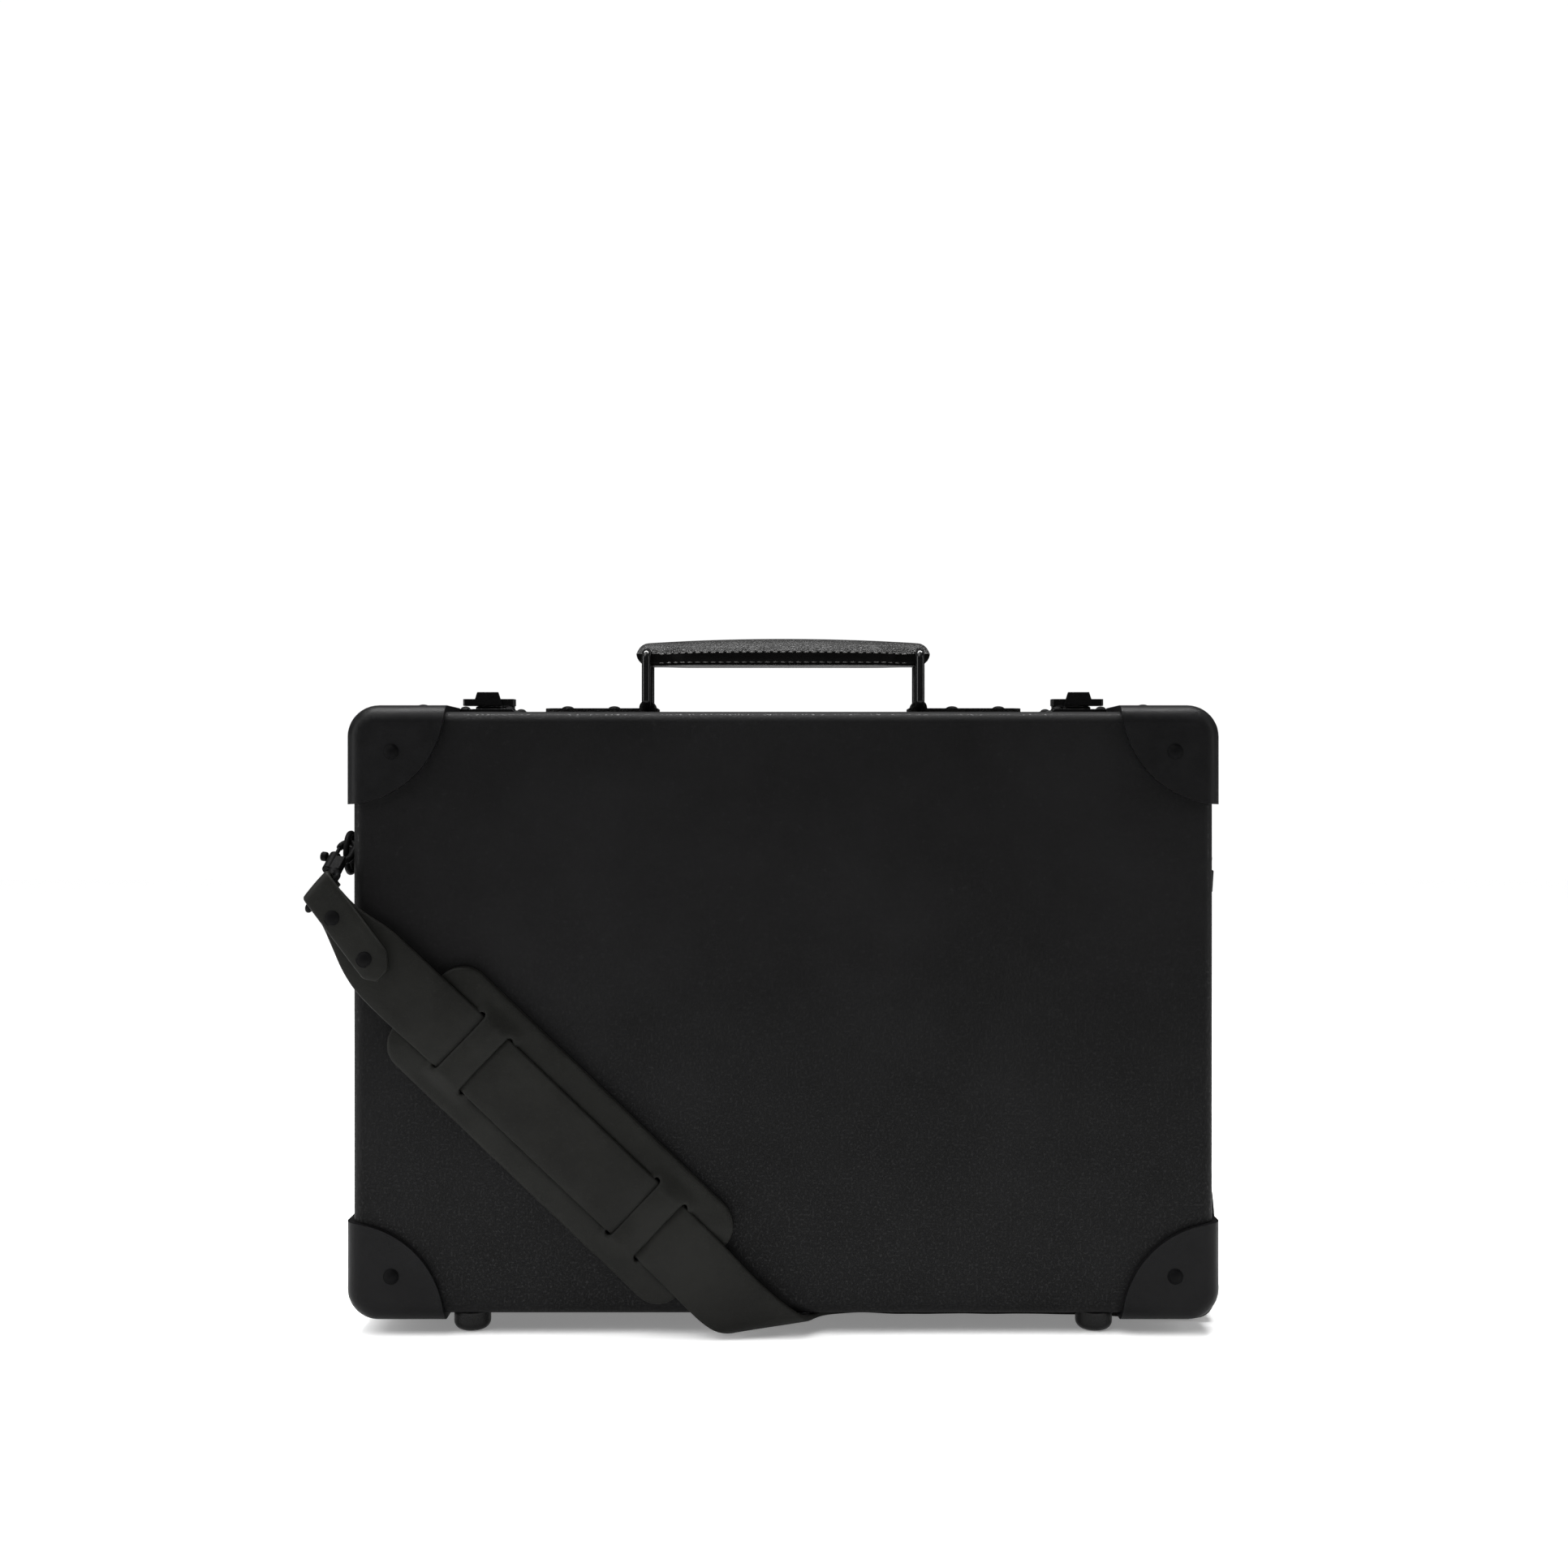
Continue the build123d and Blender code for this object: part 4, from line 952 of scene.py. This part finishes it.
class CASE_OT_handle(bpy.types.Operator):
    """Build the stitched leather grip and dress its rings and tabs"""

    bl_idname = "case.handle"
    bl_label = "Handle"

    def outline(self, x, low, high):
        """Lowest and highest level of the grip at x, and its half width there."""
        end_r = high.x - BAR_X
        past = max(abs(x) - BAR_X, 0.0)
        shrink = sqrt(max(1 - (past / end_r) ** 2, 0.0))
        crown = (high.z - low.z - 2 * end_r) * max(1 - (x / BAR_X) ** 2, 0.0)
        middle = low.z + end_r
        half = grip_half_width(x, 0.0086, (high.y - low.y) / 2)
        return middle - end_r * shrink, middle + end_r * shrink + crown, half * (0.90 + 0.10 * shrink)

    def point(self, x, low, high, share_y, share_z, lift=0.0):
        """Point on the grip's skin at shares of its half width and height, lifted sideways a little."""
        bottom, top, half = self.outline(x, low, high)
        side = 1 if share_y > 0 else -1
        y = (low.y + high.y) / 2 + half * share_y + side * lift
        return Vector((x, y, bottom + (top - bottom) * share_z))

    def execute(self, context):
        low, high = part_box("handle_grip")
        ends = [high.x - step for step in (0.00006, 0.0004, 0.0011, 0.0022, 0.0038)]
        places = [-x for x in ends] + [BAR_X * (i / 32 - 1) for i in range(65)] + ends[::-1]
        section = GRIP_SECTION + [(-y, z) for y, z in GRIP_SECTION[-2:0:-1]]
        rings = [[self.point(x, low, high, y, z) for y, z in section] for x in places]
        grip = skin("grip_leather", rings, "grained_leather")
        # the faces in the lower half take the band leather: a real smooth leather, dyed darker as painted
        # shade
        grip.data.materials.append(finish("shaded_handle_band_leather"))
        for face in grip.data.polygons:
            bottom, top, _ = self.outline(face.center.x, low, high)
            face.material_index = int(face.center.z < bottom + 0.50 * (top - bottom))
        for side in (-1, 1):
            bore = bmesh.new()
            radius = 0.00235
            shape = {"segments": 28, "radius1": radius, "radius2": radius, "depth": 0.06}
            bmesh.ops.create_cone(bore, cap_ends=True, **shape)
            place = Matrix.Translation((side * 0.064, (low.y + high.y) / 2, 0.3137))
            bore.transform(place @ Matrix.Rotation(pi / 2, 4, "X"))
            tool_mesh = bpy.data.meshes.new("bore")
            bore.to_mesh(tool_mesh)
            bore.free()
            tool = bpy.data.objects.new("bore", tool_mesh)
            context.scene.collection.objects.link(tool)
            cutter = grip.modifiers.new("bore", "BOOLEAN")
            cutter.operation = "DIFFERENCE"
            cutter.object = tool
            modified(grip)
            bpy.data.objects.remove(tool)
        grip.data.set_sharp_from_angle(angle=radians(50))
        settle(grip, "handle_grip_body", ["handle_grip", "handle_core"])

        rows = []
        for share_y in (-1, 1):
            for share_z in (0.455, 0.10):
                places = [0.0015 * i for i in range(-38, 39)]
                rows.append([self.point(x, low, high, share_y, share_z, 0.0001) for x in places])
        stitches("grip_stitches", rows, "handle_grip_body", stitch_plan(finish("waxed_thread")))

        plan = rivet_plan(finish("black_oxide"))
        for name in ("left", "right"):
            dressed(
                f"ring_{name}", [f"handle_ring_{name}"],
                f"handle_ring_{name}_body", "black_lacquer", 0.0002,
            )
            dressed(
                f"tab_{name}", [f"handle_tab_{name}"],
                "base", "grained_leather", 0.0005, 3,
            )
        rivets("tab_rivet_heads", "handle_tab_rivets", "base", plan)
        return {"FINISHED"}


class CASE_OT_latches(bpy.types.Operator):
    """Dress the latch plates, brackets, hasps, pins and rivets"""

    bl_idname = "case.latches"
    bl_label = "Latches"

    def execute(self, context):
        edge = context.scene.case_hardware.softened_edge
        plan = rivet_plan(finish("black_oxide"))
        dressed("latch_keeper_plates", ["latch_plates"], "base", "black_lacquer", edge)
        dressed("latch_lid_brackets", ["latch_brackets"], "lid", "black_lacquer", edge)
        dressed("latch_hinge_pins", ["latch_pins"], "lid", "satin_steel", edge)
        rivets("latch_plate_rivet_heads", "latch_plate_rivets", "base", plan)
        rivets("latch_bracket_rivet_heads", "latch_bracket_rivets", "lid", plan)
        for name in ("left", "right"):
            dressed(
                f"hasp_{name}_plate", [f"latch_hasp_{name}"],
                f"hasp_{name}", "black_lacquer", 0.0004, 3,
            )
        return {"FINISHED"}


class CASE_OT_hinges(bpy.types.Operator):
    """Dress the hinges, the lid stays and their studs"""

    bl_idname = "case.hinges"
    bl_label = "Hinges and stays"

    def execute(self, context):
        edge = context.scene.case_hardware.softened_edge
        plan = rivet_plan(finish("black_oxide"))
        for body in ("base", "lid"):
            dressed(
                f"{body}_hinge_leaves", [f"hinge_{body}_leaves"],
                body, "black_lacquer", edge,
            )
            rivets(f"{body}_hinge_rivet_heads", f"hinge_{body}_rivets", body, plan)
            dressed(f"{body}_stay_studs", [f"stay_{body}_studs"], body, "satin_steel", edge)
            for name in ("left", "right"):
                dressed(
                    f"{body}_stay_{name}",
                    [f"stay_{body}_arm_{name}"],
                    f"stay_{body}_{name}",
                    "satin_steel",
                    edge,
                )
        dressed("hinge_pin_rods", ["hinge_pins"], "base", "satin_steel", edge)
        return {"FINISHED"}


class CASE_OT_hooks(bpy.types.Operator):
    """Dress the strap saddles, the D rings and the snap hooks"""

    bl_idname = "case.hooks"
    bl_label = "Strap rings and hooks"

    def execute(self, context):
        edge = context.scene.case_hardware.softened_edge
        plan = rivet_plan(finish("black_oxide"))
        dressed("strap_saddle_plates", ["strap_saddles"], "base", "black_oxide", edge)
        rivets("saddle_rivet_heads", "saddle_rivets", "base", plan)
        for name in ("left", "right"):
            dressed(
                f"d_ring_{name}_wire", [f"d_ring_{name}"],
                f"strap_ring_{name}", "black_oxide", edge,
            )
            for part, swell in (("body", 0.0006), ("eye", 0.0)):
                node = f"hook_{part}_{name}"
                dressed(
                    f"hook_{name}_{part}", [node],
                    "base", "black_oxide", edge, 2, swell,
                )
            dressed(
                f"hook_{name}_bolt", [f"hook_bolt_{name}"],
                f"bolt_{name}", "black_oxide", edge,
            )
        return {"FINISHED"}


PAD_MIDDLE = Vector((-0.1013, 0, 0.0926))
DOWN_STRAP = Vector((0.724, 0, -0.690))
ACROSS_STRAP = Vector((0.690, 0, 0.724))
SLOTS = (0.0460, 0.0632)
# The riveted end of the strap on the face: x, z, depth and width, in millimetres.
END_ROUTE = (
    (-206.4, 199.4, -51.2, 15.6),
    (-202.6, 194.4, -51.3, 16.2),
    (-196.3, 185.9, -51.4, 21.5),
    (-188.6, 176.6, -51.4, 29.5),
    (-179.5, 166.2, -51.5, 32.4),
)


def face_stations():
    """Places down the straight stretch over the pad, measured from the pad's middle, with their depths."""
    inner, outer = SLOTS
    over, through, behind = -0.0518, -0.0500, -0.0470
    middle = (inner + outer) / 2
    half = [(0.0, -0.0520), (0.014, -0.0520), (inner - 0.014, over), (inner - 0.004, over)]
    half += [(inner + 0.001, through), (middle, behind), (outer - 0.001, through)]
    half += [(outer + 0.004, over), (outer + 0.010, over)]
    return [(-u, depth) for u, depth in half[:0:-1]] + half


# Both edges of the stretch that turns under the front edge and runs beneath the case.
UNDER_ROUTE = (
    ((-47.0, -51.6, 18.2), (-25.0, -51.4, 41.4)),
    ((-38.0, -51.6, 9.0), (-13.5, -51.2, 29.0)),
    ((-31.0, -51.4, 4.2), (-2.0, -50.9, 18.5)),
    ((-26.0, -48.5, 3.2), (7.0, -49.8, 11.5)),
    ((-19.0, -41.0, 3.4), (11.0, -45.0, 7.9)),
    ((-8.0, -30.0, 4.2), (18.5, -34.5, 8.0)),
    ((6.0, -16.0, 4.6), (31.0, -25.5, 7.0)),
    ((28.0, 2.0, 4.6), (50.0, -22.0, 5.0)),
    ((56.0, 10.0, 4.6), (66.0, -20.3, 4.6)),
    ((94.0, 11.5, 4.5), (96.0, -20.5, 4.5)),
    ((136.0, 11.5, 4.2), (136.0, -20.5, 4.2)),
    ((165.0, 11.5, 3.2), (165.0, -20.5, 3.2)),
    ((184.0, 11.5, 2.4), (184.0, -20.5, 2.4)),
    ((201.9, 11.5, 2.4), (201.9, -20.5, 2.4)),
    ((201.9, 11.5, 26.0), (201.9, -20.5, 26.0)),
    ((201.8, 11.7, 52.0), (201.8, -20.3, 52.0)),
    ((199.6, 15.6, 74.0), (199.6, -16.3, 74.0)),
    ((199.5, 19.6, 100.0), (199.5, -12.2, 100.0)),
    ((201.0, 20.4, 122.0), (201.0, -2.6, 122.0)),
    ((204.6, 20.0, 141.0), (204.6, 3.2, 141.0)),
    ((204.8, 19.85, 160.0), (204.8, 3.35, 160.0)),
    ((204.8, 19.85, 186.4), (204.8, 3.35, 186.4)),
)


class CASE_OT_strap(bpy.types.Operator):
    """Build the shoulder strap, its riveted ends and its pad"""

    bl_idname = "case.strap"
    bl_label = "Shoulder strap and pad"

    def main_band(self, strap):
        """The long band, and the line along its middle."""
        left, right = [], []
        for i, (x, z, depth, width) in enumerate(END_ROUTE):
            along = DOWN_STRAP.lerp(Vector((0.600, 0, -0.800)), 1 - i / 4).normalized()
            across = Vector((-along.z, 0, along.x)) * width / 2
            centre = Vector((x, depth, z))
            left.append((centre - across) * MM)
            right.append((centre + across) * MM)
        half = ACROSS_STRAP * strap.width / 2
        for along, depth in face_stations():
            centre = PAD_MIDDLE + DOWN_STRAP * along + Y * depth
            left.append(centre - half)
            right.append(centre + half)
        left += [Vector(a) * MM for a, _ in UNDER_ROUTE]
        right += [Vector(b) * MM for _, b in UNDER_ROUTE]
        return band("strap_leather_band", left, right, strap.thickness, "strap_leather", 0.0004)

    def tongue(self, name, eye, bar, down, out, strap, length):
        """Riveted end: up the front layer, round the eye's bar and down behind it."""
        half = strap.end_width / 2
        route = [(-length, 3.0, 0.42), (-length + 5.0, 3.0, 0.98), (-length + 9.0, 3.0, 1.0)]
        route += [(-length + 20.0, 3.1, 1.0), (-14.0, 3.1, 1.0), (-4.0, 3.1, 1.0)]
        route += [(2.0, 3.2, 1.0), (4.4, 1.9, 1.0), (4.4, -1.9, 1.0), (2.0, -3.1, 1.0), (-3.0, -3.0, 1.0)]
        left, right = [], []
        for along, level, share in route:
            centre = eye - down * (along * MM) + out * (level * MM)
            left.append(centre - bar * half * share)
            right.append(centre + bar * half * share)
        return band(name, left, right, strap.thickness, "strap_leather")[0]

    def pad(self, strap):
        """Padded panel: remeshed from its flat shape, crowned, with its bridges bowed out over the strap."""
        shape = merged(["shoulder_pad"])
        low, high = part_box("shoulder_pad")
        mesh = bpy.data.meshes.new("shoulder_pad_leather")
        shape.to_mesh(mesh)
        shape.free()
        pad = piece("shoulder_pad_leather", mesh, "strap_leather")
        remesh = pad.modifiers.new("even mesh", "REMESH")
        remesh.mode = "VOXEL"
        remesh.voxel_size = strap.pad_cell
        smooth = pad.modifiers.new("rubbed", "SMOOTH")
        smooth.factor = 0.5
        smooth.iterations = 3
        modified(pad)
        middle = (low + high) / 2
        for vert in pad.data.vertices:
            offset = vert.co - middle
            u, v = offset.dot(DOWN_STRAP), offset.dot(ACROSS_STRAP)
            deep = (vert.co.y - low.y) / (high.y - low.y)
            bridge = max(0.0, 1 - abs(abs(u) - sum(SLOTS) / 2) / 0.0125)
            inside = min(max((0.0225 - abs(v)) / 0.0065, 0.0), 1.0)
            rise = strap.bridge_rise * (bridge ** 0.6) * inside
            edge = min(0.089 - abs(u), 0.0285 - abs(v))
            crown = 0.0011 * min(max(edge / 0.010, 0.0), 1.0) * (1 - deep)
            trough = 0.0012 if abs(v) < 0.0165 and bridge == 0.0 and deep < 0.5 else 0.0
            lump = 0.0005 * noise.noise(vert.co * 45.0)
            thin = (1 - deep) * 0.0012 * inside * bridge
            vert.co.y -= rise + crown - trough * min(max((0.0165 - abs(v)) / 0.003, 0), 1) + lump - thin
        pad.data.shade_smooth()
        settle(pad, "base", ["shoulder_pad"])
        return pad

    def execute(self, context):
        strap = context.scene.case_strap
        plan = rivet_plan(finish("black_oxide"))
        main, middle = self.main_band(strap)
        stretches = ["strap_front", "strap_edge", "strap_under", "strap_corner", "strap_side"]
        settle(main, "base", stretches)
        left_eye = Vector((-207.6, -54.2, 202.8)) * MM
        right_eye = Vector((201.81, 11.61, 186.46)) * MM
        bar = Vector((0.650, 0, 0.760)).normalized()
        left = self.tongue("strap_end_left", left_eye, bar, Vector((0.6, 0, -0.8)), -Y, strap, 46.0)
        settle(left, "base", ["strap_tongue_left"])
        right = self.tongue("strap_end_right", right_eye, Y, -Z, -X, strap, 46.0)
        settle(right, "base", ["strap_tongue_right"])
        heads = rivets("strap_rivet_heads", "strap_rivets", "base", plan)
        pad = self.pad(strap)
        return {"FINISHED"}


class CASE_OT_pocket(bpy.types.Operator):
    """Dress the document pocket in the lid and stitch its border"""

    bl_idname = "case.pocket"
    bl_label = "Lid pocket"

    def execute(self, context):
        low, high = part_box("lid_pocket")
        dressed("lid_pocket_panel", ["lid_pocket"], "lid", "cap_leather", 0.0006, 3)
        inset, r, y = 0.006, 0.010, low.y - 0.0001
        x0, x1, z0, z1 = low.x + inset, high.x - inset, low.z + inset, high.z - inset
        line = []
        corners = ((x1 - r, z1 - r, 0), (x0 + r, z1 - r, 90), (x0 + r, z0 + r, 180), (x1 - r, z0 + r, 270))
        for cx, cz, start in corners:
            for step in range(7):
                a = radians(start + 15 * step)
                line.append(Vector((cx + r * cos(a), y, cz + r * sin(a))))
        line.append(line[0])
        stitches("pocket_stitches", [line], "lid", stitch_plan(finish("waxed_thread")))
        return {"FINISHED"}


class CASE_OT_stage(bpy.types.Operator):
    """Lay the white floor, hang the lights and stand the camera"""

    bl_idname = "case.stage"
    bl_label = "Floor, lights and camera"

    def softbox(self, name, place, aim, size, power):
        """Rectangular light that looks at a place."""
        light = bpy.data.lights.new(name, "AREA")
        light.shape = "RECTANGLE"
        light.size, light.size_y = size
        light.energy = power
        obj = bpy.data.objects.new(name, light)
        obj.location = place
        obj.rotation_euler = (Vector(aim) - Vector(place)).to_track_quat("-Z", "Y").to_euler()
        bpy.context.scene.collection.objects.link(obj)

    def execute(self, context):
        stage, scene = context.scene.case_stage, context.scene
        half = stage.floor_size
        mesh = bpy.data.meshes.new("floor")
        corners = [(-half, -half, 0), (half, -half, 0), (half, half, 0), (-half, half, 0)]
        mesh.from_pydata(corners, [], [(0, 1, 2, 3)])
        piece("floor", mesh, "floor_paint")

        world = bpy.data.worlds.new("white surround")
        scene.world = world
        world.use_nodes = True
        nodes, links = world.node_tree.nodes, world.node_tree.links
        nodes.clear()
        seen, lit = nodes.new("ShaderNodeBackground"), nodes.new("ShaderNodeBackground")
        seen.inputs["Strength"].default_value = stage.backdrop
        seen.inputs["Color"].default_value = (1, 1, 1, 1)
        lit.inputs["Strength"].default_value = stage.surround
        lit.inputs["Color"].default_value = (1, 1, 1, 1)
        path, mix = nodes.new("ShaderNodeLightPath"), nodes.new("ShaderNodeMixShader")
        links.new(path.outputs["Is Camera Ray"], mix.inputs[0])
        links.new(lit.outputs[0], mix.inputs[1])
        links.new(seen.outputs[0], mix.inputs[2])
        links.new(mix.outputs[0], nodes.new("ShaderNodeOutputWorld").inputs[0])

        sun = bpy.data.lights.new("sky panel", "SUN")
        sun.energy = 2.55
        sun.angle = radians(50)
        sun_obj = bpy.data.objects.new("sky panel", sun)
        sun_obj.rotation_euler = (radians(20), radians(-24), 0)
        scene.collection.objects.link(sun_obj)
        self.softbox("top strip", (0.0, 0.06, 1.05), (0, 0, 0.2), (1.1, 0.10), 26)
        self.softbox("left strip", (-1.2, -0.30, 0.45), (0, 0, 0.18), (0.25, 1.0), 7)
        self.softbox("right strip", (1.2, -0.30, 0.45), (0, 0, 0.18), (0.20, 1.0), 4)

        lens = bpy.data.cameras.new("camera")
        lens.lens = stage.lens
        lens.sensor_width = 36
        lens.clip_start = 0.02
        camera = bpy.data.objects.new("camera", lens)
        camera.location = stage.eye
        camera.rotation_euler = (pi / 2, 0, 0)
        scene.collection.objects.link(camera)
        scene.camera = camera
        scene.view_settings.view_transform = "Standard"
        return {"FINISHED"}


class CASE_PT_panel(bpy.types.Panel):
    """Lists the pieces of the case"""

    bl_idname = "CASE_PT_panel"
    bl_label = "Attache case"
    bl_space_type = "VIEW_3D"
    bl_region_type = "UI"
    bl_category = "Attache case"

    def draw(self, context):
        for operator in OPERATORS:
            self.layout.operator(operator.bl_idname)
        for name, group in SETTINGS.items():
            box = self.layout.box()
            box.label(text=group.__doc__)
            for key in group.__annotations__:
                box.prop(getattr(context.scene, name), key)


SETTINGS = {
    "case_board": BoardSettings,
    "case_leather": LeatherSettings,
    "case_hardware": HardwareSettings,
    "case_stitch": StitchSettings,
    "case_strap": StrapSettings,
    "case_stage": StageSettings,
}
OPERATORS = (
    CASE_OT_stage,
    CASE_OT_strap,
    CASE_OT_boards,
    CASE_OT_caps,
    CASE_OT_feet,
    CASE_OT_handle,
    CASE_OT_latches,
    CASE_OT_hinges,
    CASE_OT_hooks,
    CASE_OT_pocket,
)


def register():
    for group in SETTINGS.values():
        bpy.utils.register_class(group)
    for name, group in SETTINGS.items():
        setattr(bpy.types.Scene, name, PointerProperty(type=group))
    for operator in OPERATORS:
        bpy.utils.register_class(operator)
    bpy.utils.register_class(CASE_PT_panel)


def unregister():
    bpy.utils.unregister_class(CASE_PT_panel)
    for operator in reversed(OPERATORS):
        bpy.utils.unregister_class(operator)
    for name in SETTINGS:
        delattr(bpy.types.Scene, name)
    for group in reversed(list(SETTINGS.values())):
        bpy.utils.unregister_class(group)


def main():
    """Builds everything on the frame."""
    register()
    for operator in OPERATORS:
        area, name = operator.bl_idname.split(".")
        getattr(getattr(bpy.ops, area), name)()
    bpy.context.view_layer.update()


if __name__ == "__main__":
    main()
